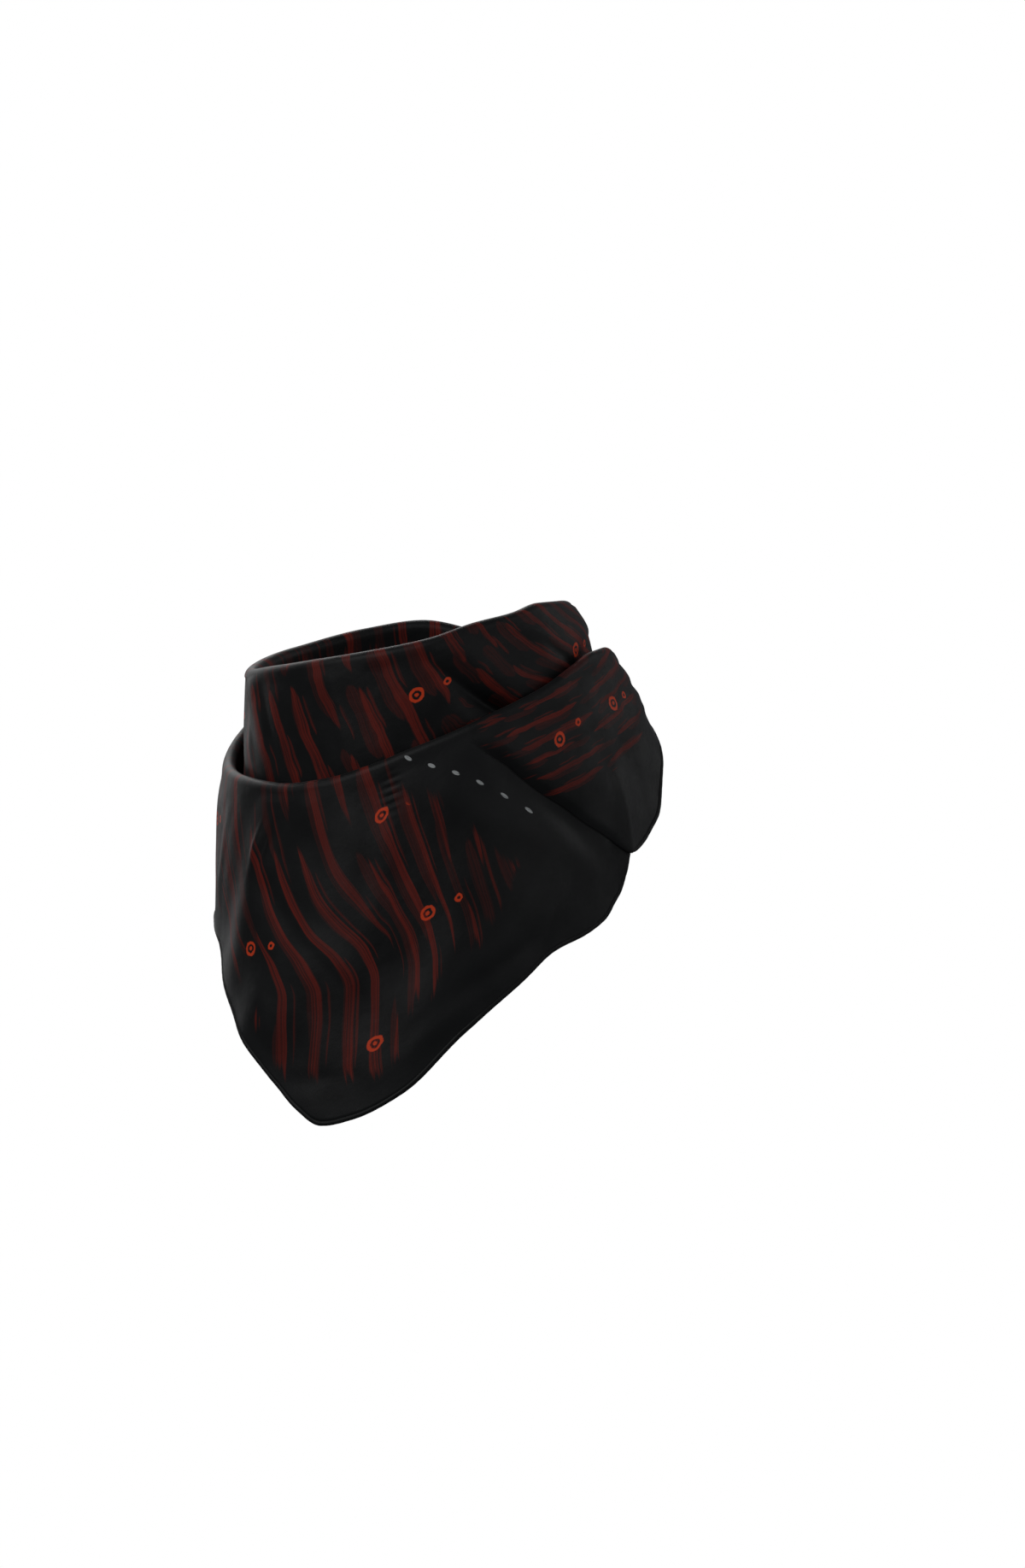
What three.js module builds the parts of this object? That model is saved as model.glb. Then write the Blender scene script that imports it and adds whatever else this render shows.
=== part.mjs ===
/**
 * Silk neck scarf, kept in the hollow form in which it is worn.
 *
 * One square of silk with a hand-rolled hem is folded on its diagonal. The long folded edge
 * stands round the neck as a band, dips inside and turns over a lip, the square corner falls
 * over the chest, the two wings run back over the shoulders, and the two sharp corners are
 * tied at the nape.
 *
 * Frame: millimetres, +Z up. The origin lies on the axis of the neck at half the height of the
 * band's front. +X is the wearer's left and -Y is the wearer's front. A "turn" is the angle in
 * degrees round the neck: 0 at the front, 90 at the wearer's left, 180 at the nape.
 */
import * as THREE from 'three';

// ---- Driving sizes ----
const WALL = 1.4; // both layers of the doubled silk with the air between them
const SEAM = 0.3; // free gap between pieces that lie on each other
const DIP = 14; // the band's foot lies this far below the lip
const DIP_ROLL = 1.7; // radius of the turn at the bottom of the dip
const DIP_GAP = 0.6; // free gap where the band's foot meets the cloth that rises to the lip
const CROWN_ROLL = 2.6; // radius of the rolled fold along the band's top
const FACING = 15; // depth of the edge turned down inside the band
const FACING_FLARE = 0.6; // the facing follows this share of the band's own flare
const LIP_DROP = 4.4; // plain cloth below the lip before any edge is tucked under a wing
const HEM_ROLL = 1.1; // radius of the rolled hem
const PLEAT_CURL = 1.0; // how far a pleat's edge curls in towards the fall
// Between these turns a wing's lower edge is a pleat over the fall; beyond them it is hemmed.
const LEFT_PLEAT = [54, 100];
const RIGHT_PLEAT = [-103.5, -72];
const KNOT = { halfLength: 14.4, radius: 9.6, depth: 0.8, distance: 70.6, height: -1 };
const WRAP = { inner: 7.5, outer: 11, halfWidth: 4.6 };
const TAIL = {
  length: 60, rootOut: 8.9, rootHalf: 3.6, wideHalf: 13.5, tipHalf: 0.9, wideAt: 0.5,
  spread: 17, standOff: 1.5, billow: 7, fold: 0.28, skew: 3,
};

const SILK_BLACK = 0x121315; // plain border and fall
const SILK_STRIPED = 0x2a1212; // stretches that the red stripes cover most
const SILK_HEM = 0x1a1b1d;
const SILK_ROUGHNESS = 0.45;

// ---- How finely each stretch is divided ----
const RISER_STEPS = 2; // up from the dip to the lip
const ROLL_STEPS = 5; // over the lip
const FACING_STEPS = 2; // down the edge inside the band
const CROWN_STEPS = 4; // over the band's rolled top
const FACE_STEPS = 5; // down the band's outer face
const DIP_STEPS = 3; // round the bottom of the dip
const FALL_UPPER_STEPS = 2; // between the lip's roll and the tucked edges
const FALL_LOWER_STEPS = 11; // from there to the fall's hem
const WING_STEPS = 8; // from the lip's roll to a wing's lower edge
const HEM_SIDES = 6;
const KNOT_SIDES = 16;
const WRAP_SIDES = 8;
const TAIL_STEPS = { across: 6, down: 9 };

// ---- Tables: a row for each section, with named columns ----
const table = (columns, rows) =>
  rows.map((row) => Object.fromEntries(columns.map((name, k) => [name, row[k]])));

// The standing band: outer radius and top of its crown, and the flare of the cloth below it.
const CROWN = table(['turn', 'radius', 'top', 'flare'], [
  [-179.8, 57, 7.5, 10],
  [-170, 57, 11, 10],
  [-158, 57.5, 16, 9],
  [-142, 58.5, 18.5, 8],
  [-120, 60.5, 15.5, 6],
  [-90, 62, 10, 4],
  [-48, 62.8, 6, 2],
  [-16, 62.3, 10, 3],
  [1, 62.2, 13, 4],
  [20, 62, 16.6, 5],
  [43, 61.5, 21.6, 7],
  [60, 60.5, 26.9, 9],
  [76, 59.5, 29.7, 12],
  [89, 58.5, 32.3, 17],
  [106, 57, 31.8, 26],
  [128, 55.5, 30, 33],
  [146, 54.8, 25.5, 26],
  [160, 56, 17.5, 17],
  [170, 57, 11.5, 11],
  [179.8, 57, 7.5, 10],
]);

// The lip where the cloth turns over: outer radius, top, flare below it and radius of the roll.
const LIP = table(['turn', 'radius', 'top', 'flare', 'roll'], [
  [-167, 66, 5, 10, 1.3],
  [-150, 68.5, 8.5, 22, 1.5],
  [-130, 70, 8, 28, 1.7],
  [-110, 71, 1, 26, 1.8],
  [-90, 71, -9, 18, 1.8],
  [-70, 71, -20, 12, 1.9],
  [-48, 71, -28, 13, 2.0],
  [-24, 72.3, -30, 10, 2.5],
  [-5, 73, -30.5, 8, 2.9],
  [12, 73, -27.5, 8, 2.8],
  [26, 72.5, -22, 8, 2.4],
  [38, 72, -16, 9, 2.1],
  [49, 72, -10.7, 10, 2.0],
  [64, 72, -3, 11, 2.0],
  [80, 71.3, 4.2, 11, 1.9],
  [92, 71, 10.2, 12, 1.8],
  [103, 71, 14.3, 15, 1.8],
  [114, 71, 14.8, 22, 1.7],
  [124, 71, 12.5, 28, 1.7],
  [140, 70.3, 11, 27, 1.6],
  [155, 68, 8, 20, 1.4],
  [167, 66, 5, 10, 1.3],
]);

// The free edge of the fall: its two hems and the rounded corner between them.
const FALL_HEM = table(['turn', 'radius', 'height', 'flare'], [
  [-103, 80, -58, 8],
  [-90, 78, -67, 6],
  [-70, 75, -78, 3],
  [-48, 73.6, -86, 1],
  [-34, 75.6, -91, 2],
  [-23, 80, -100.8, 5],
  [-13, 83.5, -110.8, 7],
  [-2.5, 87, -123, 9],
  [6.4, 90, -135, 10],
  [12.7, 92.5, -142.6, 10],
  [18, 94, -147, 10],
  [25.4, 94, -144.1, 10],
  [36, 93, -134.8, 9],
  [50, 90.5, -113.8, 9],
  [62, 88.5, -99.4, 8],
  [73, 87, -87.8, 8],
  [82.4, 86, -83.4, 8],
  [89.3, 86, -78.9, 8],
  [93.3, 86, -73.8, 8],
  [96.3, 86, -69.4, 8],
  [98.6, 85.5, -62.1, 8],
  [100, 85, -57.5, 8],
]);

// The edge of the fall that is tucked under each wing.
const FALL_TUCK = table(['turn', 'height'], [
  [-103, -51],
  [-95, -43],
  [-85, -33],
  [-78, -29],
  [-72, -27.5],
  [54, -12.4],
  [58, -15.2],
  [64, -20],
  [68.3, -22.5],
  [73, -26],
  [80.4, -30.5],
  [86.8, -37],
  [94.5, -43.5],
  [100, -48.5],
]);

// Lower edge of each wing: the pleat over the fall, then the hem back to the knot.
const LEFT_EDGE = table(['turn', 'radius', 'height', 'flare'], [
  [54.4, 75.2, -13.5, 14],
  [58, 77.1, -17, 14],
  [63.8, 78.9, -21.8, 14],
  [68.3, 79.9, -26.8, 14],
  [73.1, 81.2, -31.8, 14],
  [80.4, 82.6, -38, 14],
  [86.8, 84.3, -44.3, 14],
  [94.5, 86.6, -50.8, 14],
  [100.5, 88.6, -56.5, 15],
  [104.3, 88.8, -54.5, 18],
  [109, 89, -49.5, 20],
  [114, 90, -42.5, 23],
  [117, 90.6, -36, 26],
  [120.5, 91, -29, 28],
  [125, 90, -22.5, 29],
  [137, 85, -15.5, 27],
  [152, 77, -10, 18],
  [167, 69, -7, 10],
]);
const RIGHT_EDGE = table(['turn', 'radius', 'height', 'flare'], [
  [-167, 69, -7, 10],
  [-152, 76, -11, 18],
  [-138, 82, -19, 24],
  [-127, 85, -29, 24],
  [-118, 85.5, -40, 20],
  [-110, 84.5, -51, 15],
  [-104, 83.5, -58, 12],
  [-98, 82, -53, 12],
  [-90, 80, -44, 12],
  [-80, 77.5, -34.5, 12],
  [-72.4, 76, -30, 12],
]);

// Soft folds: centre, slant from level, half length, half width and height of each swell.
const FALL_FOLDS = table(['turn', 'height', 'slant', 'length', 'width', 'rise'], [
  [4, -104, 60, 42, 14, 3.2],
  [-24, -86, 75, 34, 9, -1.8],
  [34, -92, 68, 38, 11, -2.0],
  [62, -72, 50, 34, 12, 1.8],
  [-8, -52, 80, 22, 7, 1.2],
  [-56, -60, 82, 26, 8, -1.6],
]);
const BAND_FOLDS = table(['turn', 'height', 'slant', 'length', 'width', 'rise'], [
  [57, 3, -36, 24, 5.5, -1.8],
  [64, 12, -30, 24, 6.5, 1.0],
  [-40, -6, -52, 16, 5, -1.3],
  [-29, -2, -58, 18, 5.5, 0.9],
  [-110, 0, 40, 22, 4.0, -1.5],
  [-150, 8, 12, 26, 3.2, -1.5],
  [150, 10, -12, 26, 3.2, -1.5],
  [108, 12, 30, 22, 4.2, -1.2],
]);
const WING_FOLDS = table(['turn', 'height', 'slant', 'length', 'width', 'rise'], [
  [118, -6, 28, 30, 6, 1.5],
  [140, 2, -18, 26, 2.6, -1.6],
  [146, -6, -6, 26, 2.4, 1.2],
  [-112, -18, -30, 30, 6, 1.6],
  [-140, -1, 18, 26, 2.6, -1.6],
  [-146, -8, 8, 26, 2.4, 1.2],
]);

// ---- Reading the tables ----
const radians = THREE.MathUtils.degToRad;

/** Reads a column at a turn, on a cubic that never overshoots its rows. */
function read(rows, column, turn) {
  const x = THREE.MathUtils.clamp(turn, rows[0].turn, rows[rows.length - 1].turn);
  const after = rows.findIndex((row) => row.turn >= x);
  const k = Math.max(after, 1) - 1;
  const grade = (n) => (rows[n + 1][column] - rows[n][column]) / (rows[n + 1].turn - rows[n].turn);
  const tangent = (n) => {
    if (n === 0) return grade(0);
    if (n === rows.length - 1) return grade(n - 1);
    const [before, next] = [grade(n - 1), grade(n)];
    return before * next <= 0 ? 0 : (2 * before * next) / (before + next);
  };
  const span = rows[k + 1].turn - rows[k].turn;
  const t = (x - rows[k].turn) / span;
  const s = 1 - t;
  return rows[k][column] * (1 + 2 * t) * s * s + rows[k + 1][column] * (1 + 2 * s) * t * t
    + tangent(k) * span * t * s * s - tangent(k + 1) * span * s * t * t;
}

/** Reads every column of a table at a turn. */
function readAll(rows, turn) {
  return Object.fromEntries(Object.keys(rows[0]).map((name) => [name, read(rows, name, turn)]));
}

/** Evenly spaced values from one end to the other, both included. */
function spread(from, to, steps) {
  return Array.from({ length: steps + 1 }, (_, k) => from + ((to - from) * k) / steps);
}

/** A point in the section plane: radius from the neck's axis and height. */
const at = (radius, height) => new THREE.Vector2(radius, height);

/** Points on a roll from one angle to another; 0 looks outwards and 90 looks up. */
function roll(centre, radius, from, to, steps) {
  return spread(from, to, steps).map((angle) =>
    at(radius * Math.cos(radians(angle)), radius * Math.sin(radians(angle))).add(centre));
}

/** A point on the hanging cloth between its upper and lower end; flares are from the vertical. */
function hang(start, startFlare, end, endFlare, t) {
  const length = start.distanceTo(end);
  const way = (flare) => at(Math.sin(radians(flare)), -Math.cos(radians(flare))).multiplyScalar(length);
  const s = 1 - t;
  return start.clone().multiplyScalar((1 + 2 * t) * s * s)
    .addScaledVector(end, (1 + 2 * s) * t * t)
    .addScaledVector(way(startFlare), t * s * s)
    .addScaledVector(way(endFlare), -s * t * t);
}

/** The section point turned to its place round the neck. */
function place(turn, point) {
  const angle = radians(turn);
  return new THREE.Vector3(point.x * Math.sin(angle), -point.x * Math.cos(angle), point.y);
}

/** Outward swell of the soft folds at a turn and height. */
function swell(folds, turn, point) {
  return folds.reduce((sum, fold) => {
    const across = radians(turn - fold.turn) * point.x;
    const above = point.y - fold.height;
    const slant = radians(fold.slant);
    const along = (across * Math.cos(slant) + above * Math.sin(slant)) / fold.length;
    const aside = (above * Math.cos(slant) - across * Math.sin(slant)) / fold.width;
    return sum + fold.rise * Math.exp(-along * along - aside * aside);
  }, 0);
}

/** Moves a section's points outwards by the folds, so that the cloth swells and dips. */
function folded(points, folds, turn) {
  return points.map((point) => at(point.x + swell(folds, turn, point), point.y));
}

// ---- Cloth walls ----
/**
 * A closed wall of the cloth's thickness round a grid of points. keep(i, j) says which cells of
 * the grid are cloth; the wall is closed along every free edge of the kept cells.
 */
function clothWall(grid, keep = () => true) {
  const [across, down] = [grid.length, grid[0].length];
  const cells = [];
  for (let i = 0; i < across - 1; i += 1) {
    for (let j = 0; j < down - 1; j += 1) if (keep(i, j)) cells.push([i, j]);
  }
  const key = (i, j) => i * down + j;
  const normals = new Map();
  const corners = ([i, j]) => [[i, j], [i + 1, j], [i + 1, j + 1], [i, j + 1]];
  for (const cell of cells) {
    const [a, b, c, d] = corners(cell).map(([i, j]) => grid[i][j]);
    const normal = c.clone().sub(a).cross(d.clone().sub(b)).normalize();
    for (const [i, j] of corners(cell)) {
      if (!normals.has(key(i, j))) normals.set(key(i, j), new THREE.Vector3());
      normals.get(key(i, j)).add(normal);
    }
  }
  const positions = [];
  const outer = new Map();
  for (const [k, normal] of normals) {
    normal.normalize();
    const point = grid[Math.floor(k / down)][k % down];
    outer.set(k, positions.length / 3);
    positions.push(...point.clone().addScaledVector(normal, WALL / 2).toArray());
    positions.push(...point.clone().addScaledVector(normal, -WALL / 2).toArray());
  }
  const faces = [];
  const quad = (a, b, c, d) => faces.push(a, b, c, a, c, d);
  const edges = new Map();
  for (const cell of cells) {
    const [a, b, c, d] = corners(cell).map(([i, j]) => outer.get(key(i, j)));
    quad(a, b, c, d);
    quad(a + 1, d + 1, c + 1, b + 1);
    for (const [from, to] of [[a, b], [b, c], [c, d], [d, a]]) {
      if (!edges.delete(`${to},${from}`)) edges.set(`${from},${to}`, [from, to]);
    }
  }
  for (const [from, to] of edges.values()) quad(to, from, from + 1, to + 1);
  return solid(positions, faces);
}

/** A geometry from its points and faces. */
function solid(positions, faces) {
  const geometry = new THREE.BufferGeometry();
  geometry.setAttribute('position', new THREE.Float32BufferAttribute(positions, 3));
  geometry.setIndex(faces);
  geometry.computeVertexNormals();
  return geometry;
}

// ---- Sections of the stretches ----
/** Radius of the cloth that rises from the dip to the lip. */
const riserRadius = (lip) => lip.radius - 2 * lip.roll;

/** The cloth from the dip up over the lip, as section points, and where the hanging part starts. */
function lipSection(lip) {
  const centre = at(lip.radius - lip.roll, lip.top - lip.roll);
  const riser = spread(lip.top - DIP + DIP_GAP, centre.y, RISER_STEPS)
    .slice(0, -1)
    .map((height) => at(riserRadius(lip), height));
  const turned = roll(centre, lip.roll, 180, lip.flare, ROLL_STEPS);
  return { points: [...riser, ...turned], start: turned[ROLL_STEPS] };
}

/** The band: facing inside, crown roll, outer face and the turn at the bottom of the dip. */
function bandSection(turn) {
  const crown = readAll(CROWN, turn);
  const lip = readAll(LIP, turn);
  const centre = at(crown.radius - CROWN_ROLL, crown.top - CROWN_ROLL);
  const footRadius = riserRadius(lip) - 2 * DIP_ROLL;
  const foot = at(footRadius, lip.top - DIP);
  const lean = Math.tan(radians(crown.flare)) * FACING_FLARE;
  const facing = spread(FACING, 0, FACING_STEPS).slice(0, -1)
    .map((depth) => at(centre.x - CROWN_ROLL + depth * lean, centre.y - depth));
  const top = roll(centre, CROWN_ROLL, 180, crown.flare, CROWN_STEPS);
  const start = top[CROWN_STEPS];
  const face = spread(0, 1, FACE_STEPS).slice(1, -1)
    .map((t) => hang(start, crown.flare, foot, 0, t));
  const dip = roll(at(footRadius + DIP_ROLL, foot.y), DIP_ROLL, 180, 360, DIP_STEPS);
  return [...facing, ...top, ...folded(face, BAND_FOLDS, turn), ...dip];
}

/** How far down a hanging stretch the plain cloth reaches before its rolled hem. */
const clothShare = (start, end) => 1 - (2 * HEM_ROLL + SEAM) / start.distanceTo(end);

/** The fall's hanging cloth at a turn, as if the lip ran on above it. */
function fallHang(turn) {
  const lip = readAll(LIP, turn);
  const hem = readAll(FALL_HEM, turn);
  const { points, start } = lipSection(lip);
  const end = at(hem.radius, hem.height);
  const curve = (t) => hang(start, lip.flare, end, hem.flare, t);
  return { points, curve, hemShare: clothShare(start, end) };
}

/** Where on the hanging cloth a height is reached. */
function reach(curve, height) {
  let [low, high] = [0, 1];
  while (high - low > 1e-4) {
    const middle = (low + high) / 2;
    if (curve(middle).y > height) low = middle;
    else high = middle;
  }
  return low;
}

/** The fall's section: lip, upper rows to the tucked edge's height, then rows down to the hem. */
function fallSection(turn) {
  const { points, curve, hemShare } = fallHang(turn);
  const lipEnd = read(LIP, 'top', turn) - LIP_DROP;
  const tuck = reach(curve, Math.min(read(FALL_TUCK, 'height', turn), lipEnd));
  const upper = spread(0, tuck, FALL_UPPER_STEPS).slice(1, -1);
  const lower = spread(tuck, hemShare, FALL_LOWER_STEPS);
  const flank = folded([...upper, ...lower].map(curve), FALL_FOLDS, turn);
  return [...points, ...flank];
}

/** A wing's section: lip, hanging cloth to its lower edge, and a curl where it is a pleat. */
function wingSection(edgeTable, pleatTurns, turn) {
  const lip = readAll(LIP, turn);
  const edge = readAll(edgeTable, turn);
  const { points, start } = lipSection(lip);
  const end = at(edge.radius, edge.height);
  const isPleat = turn > pleatTurns[0] && turn < pleatTurns[1];
  const share = isPleat ? 1 : clothShare(start, end);
  const flank = spread(0, share, WING_STEPS).slice(1)
    .map((t) => hang(start, lip.flare, end, edge.flare, t));
  if (isPleat) flank[flank.length - 1].x -= PLEAT_CURL;
  return [...points, ...folded(flank, WING_FOLDS, turn)];
}

/** The rolled hem: a cord of cloth just below the last row of a grid. */
function rolledHem(grid) {
  const last = grid[0].length - 1;
  const positions = [];
  grid.forEach((column, i) => {
    const down = column[last].clone().sub(column[last - 1]).normalize();
    const next = grid[Math.min(i + 1, grid.length - 1)][last];
    const along = next.clone().sub(grid[Math.max(i - 1, 0)][last]).normalize();
    const aside = along.clone().cross(down).normalize();
    const drop = down.clone().addScaledVector(along, -down.dot(along)).normalize();
    const centre = column[last].clone().addScaledVector(drop, HEM_ROLL + SEAM);
    for (let k = 0; k < HEM_SIDES; k += 1) {
      const angle = ((k + 0.5) / HEM_SIDES) * 2 * Math.PI;
      const point = centre.clone().addScaledVector(drop, HEM_ROLL * Math.cos(angle))
        .addScaledVector(aside, HEM_ROLL * Math.sin(angle));
      positions.push(...point.toArray());
    }
  });
  return solid(positions, tubeFaces(grid.length, HEM_SIDES));
}

/** Faces of a tube of rings, closed by a flat cap at both ends. */
function tubeFaces(rings, sides) {
  const faces = [];
  for (let i = 0; i < rings - 1; i += 1) {
    for (let k = 0; k < sides; k += 1) {
      const [a, b] = [i * sides + k, i * sides + ((k + 1) % sides)];
      faces.push(a, b, b + sides, a, b + sides, a + sides);
    }
  }
  const end = (rings - 1) * sides;
  for (let k = 1; k < sides - 1; k += 1) faces.push(0, k + 1, k, end, end + k, end + k + 1);
  return faces;
}

/** The knot at the nape: a barrel lying across the neck, waisted where the cloth pulls in. */
function knot() {
  const profile = [
    [-1, 0], [-1, 0.62], [-0.8, 0.9], [-0.52, 1], [-0.3, 0.86], [-0.2, 0.7],
    [0.2, 0.7], [0.3, 0.86], [0.52, 1], [0.8, 0.9], [1, 0.62], [1, 0],
  ].map(([along, radius]) => at(radius * KNOT.radius, along * KNOT.halfLength));
  return laidAcross(new THREE.LatheGeometry(profile, KNOT_SIDES));
}

/** The end that passes round the knot's waist: a flattened ring of cloth. */
function knotWrap() {
  const bulge = (WRAP.outer - WRAP.inner) / 2;
  const profile = spread(0, 360, WRAP_SIDES).map((angle) => at(
    WRAP.inner + bulge + bulge * Math.cos(radians(angle)),
    WRAP.halfWidth * Math.sin(radians(angle)),
  ));
  return laidAcross(new THREE.LatheGeometry(profile, KNOT_SIDES));
}

/** Lays a turned shape across the nape, flattened towards the neck. */
function laidAcross(shape) {
  shape.rotateZ(-Math.PI / 2);
  shape.scale(1, KNOT.depth, 1);
  shape.translate(0, KNOT.distance, KNOT.height);
  return shape;
}

/** A loose tail below the knot: it spreads from the knot, then narrows to the square's corner. */
function tailGrid(side) {
  const root = new THREE.Vector3(side * TAIL.rootOut, KNOT.distance, KNOT.height - KNOT.radius);
  return spread(-1, 1, TAIL_STEPS.across).map((across) => spread(0, 1, TAIL_STEPS.down).map((down) => {
    const widening = TAIL.rootHalf + (TAIL.wideHalf - TAIL.rootHalf) * (down / TAIL.wideAt);
    const narrowing = TAIL.tipHalf
      + (TAIL.wideHalf - TAIL.tipHalf) * ((1 - down) / (1 - TAIL.wideAt));
    const half = Math.min(widening, narrowing);
    const wave = TAIL.fold * half * Math.cos(across * Math.PI);
    return root.clone().add(new THREE.Vector3(
      side * (across * half + down * TAIL.spread),
      wave + TAIL.billow * Math.sin(down * 2) + TAIL.standOff,
      -down * TAIL.length - TAIL.skew * across * down,
    ));
  }));
}

const sweep = (turns, section) =>
  turns.map((turn) => section(turn).map((point) => place(turn, point)));

// ---- The scarf ----
const scarf = new THREE.Group();

/** Adds a named piece. */
function add(name, geometry, colour = SILK_BLACK) {
  const finish = { color: colour, roughness: SILK_ROUGHNESS, metalness: 0 };
  const mesh = new THREE.Mesh(geometry, new THREE.MeshStandardMaterial(finish));
  mesh.name = name;
  scarf.add(mesh);
}

const fallTurns = [
  ...spread(-103, -72, 5), ...spread(-66, -6, 11), ...spread(-2, 38, 10), ...spread(42, 50, 2),
  ...spread(54, 58, 1), ...spread(62, 100, 9),
];
const [firstLip, lastLip] = [fallTurns.indexOf(-72), fallTurns.indexOf(54)];
const tuckRow = RISER_STEPS + ROLL_STEPS + FALL_UPPER_STEPS;
const fallKeep = (i, j) => (i >= firstLip && i < lastLip) || j >= tuckRow;
const fallGrid = sweep(fallTurns, fallSection);
add('front_fall', clothWall(fallGrid, fallKeep));

const leftTurns = [...spread(54.4, 60, 2), ...spread(64, 100.5, 8), ...spread(104.3, 167, 11)];
const leftGrid = sweep(leftTurns, (turn) => wingSection(LEFT_EDGE, LEFT_PLEAT, turn));
add('left_wing', clothWall(leftGrid), SILK_STRIPED);

const rightTurns = [...spread(-167, -104, 10), ...spread(-99, -72.4, 5)];
const rightGrid = sweep(rightTurns, (turn) => wingSection(RIGHT_EDGE, RIGHT_PLEAT, turn));
add('right_wing', clothWall(rightGrid), SILK_STRIPED);

// The band's sections stand at the same turns as those of the pieces that its dip joins.
const lipTurns = fallTurns.slice(firstLip, lastLip + 1);
const bandTurns = [-179.8, -173, ...rightTurns, ...lipTurns, ...leftTurns, 173, 179.8];
add('neck_band', clothWall(sweep(bandTurns, bandSection)), SILK_STRIPED);

add('fall_hem', rolledHem(fallGrid), SILK_HEM);
add('left_wing_hem', rolledHem(leftGrid.filter((_, i) => leftTurns[i] > LEFT_PLEAT[1])), SILK_HEM);
add('right_wing_hem', rolledHem(rightGrid.filter((_, i) => rightTurns[i] < RIGHT_PLEAT[0])), SILK_HEM);

add('nape_knot', knot(), SILK_STRIPED);
add('knot_wrap', knotWrap(), SILK_BLACK);
for (const [name, side] of [['left_tail', 1], ['right_tail', -1]]) {
  add(name, clothWall(tailGrid(side)), SILK_STRIPED);
}

export default scarf;
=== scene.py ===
"""A silk neck scarf, kept in the hollow form in which it is worn and dressed round its solids.

One square of silk twill with a hand-rolled hem is folded on its diagonal. The folded edge stands
round the neck as a band, dips inside and turns over a lip, the square corner falls over the chest,
the wings run back over the shoulders, and the two sharp corners are tied at the nape.

The tables hold millimetres and degrees, and every mesh is made in metres in the frame of the
solids: +X is the wearer's left, -Y the front, +Z up. A "turn" is the angle round the neck: 0 at
the front, 90 at the wearer's left and 180 at the nape. A "share" runs from 0 to 1 along a length.
"""

import logging
import math
from collections.abc import Mapping
from dataclasses import dataclass, field
from enum import Enum

import bpy
import numpy as np
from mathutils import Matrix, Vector


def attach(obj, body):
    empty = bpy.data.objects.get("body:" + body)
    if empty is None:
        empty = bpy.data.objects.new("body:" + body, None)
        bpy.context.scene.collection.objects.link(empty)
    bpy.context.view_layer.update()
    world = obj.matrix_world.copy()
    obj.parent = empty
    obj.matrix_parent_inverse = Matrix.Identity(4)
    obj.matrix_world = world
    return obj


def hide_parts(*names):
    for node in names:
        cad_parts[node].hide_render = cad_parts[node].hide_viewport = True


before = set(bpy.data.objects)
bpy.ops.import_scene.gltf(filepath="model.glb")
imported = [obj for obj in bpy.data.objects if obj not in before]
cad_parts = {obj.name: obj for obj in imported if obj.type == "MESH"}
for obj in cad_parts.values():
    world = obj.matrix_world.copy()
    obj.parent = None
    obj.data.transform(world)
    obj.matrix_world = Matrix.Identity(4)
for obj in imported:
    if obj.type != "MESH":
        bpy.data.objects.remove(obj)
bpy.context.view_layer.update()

log = logging.getLogger("scarf")

MM = 0.001
BODY = "root"

# ---- Driving sizes, in millimetres ----
CLOTH = 0.9  # the doubled silk as it shows: two layers and a little air
DIP = 14.0  # the band's foot lies this far below the lip
DIP_ROLL = 1.7  # radius of the turn at the bottom of the dip
CROWN_ROLL = 2.6  # radius of the rolled fold along the band's top
FACING = 15.0  # depth of the edge turned down inside the band
FACING_FLARE = 0.6  # the facing follows this share of the band's own flare
LIP_DROP = 4.4  # plain cloth below the lip before any edge is tucked under a wing
HEM_ROLL = 1.1  # radius of the rolled hem
HEM_BITE = 0.9  # how far the cloth runs into its rolled hem
HEM_REACH = 4.0  # height above the hem's foot at which the cloth's direction is read
STITCH = 4.2  # distance between the slip stitches that pinch the hem
PLEAT_CURL = 0.9  # how far a pleat's edge curls in towards the fall
PLEAT_SOFT = 5.0  # depth of cloth over which the pleat's edge curls
SEAM_TURN = 54.2  # where the left pleat starts at the lip
LEFT_PLEAT_END = 100.5
RIGHT_PLEAT_START = -103.5
RIGHT_SEAM_TURN = -72.0
WING_END = 167.0  # where both wings run into the knot
SEAM_BLEND = 12.0  # turns over which a wing leaves the fall's own surface
SEAM_LAP = 0.03  # turns by which a wing runs on over the fall, and the width of the last cells
PLEAT_REST = 1.5  # how far above the fall a pleat lies before its edge curls in
WRINKLE_TURN = 32.5  # where a short stack of tiny wrinkles hangs below the lip
WRINKLE_REACH = 2.6  # half the width of that stack
WRINKLE_GAP = 3.0  # distance from one of its wrinkles to the next
LIP_CREST = 6  # rows from the lip's crest, where lengths down the cloth start, to the roll's end
FADE_IN = 6.0  # depth below the lip over which creases and ripples fade in
NOWHERE = 900.0  # a distance that is past everything
HALVINGS = 18  # halvings of the span that find where the cloth reaches a height


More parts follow.
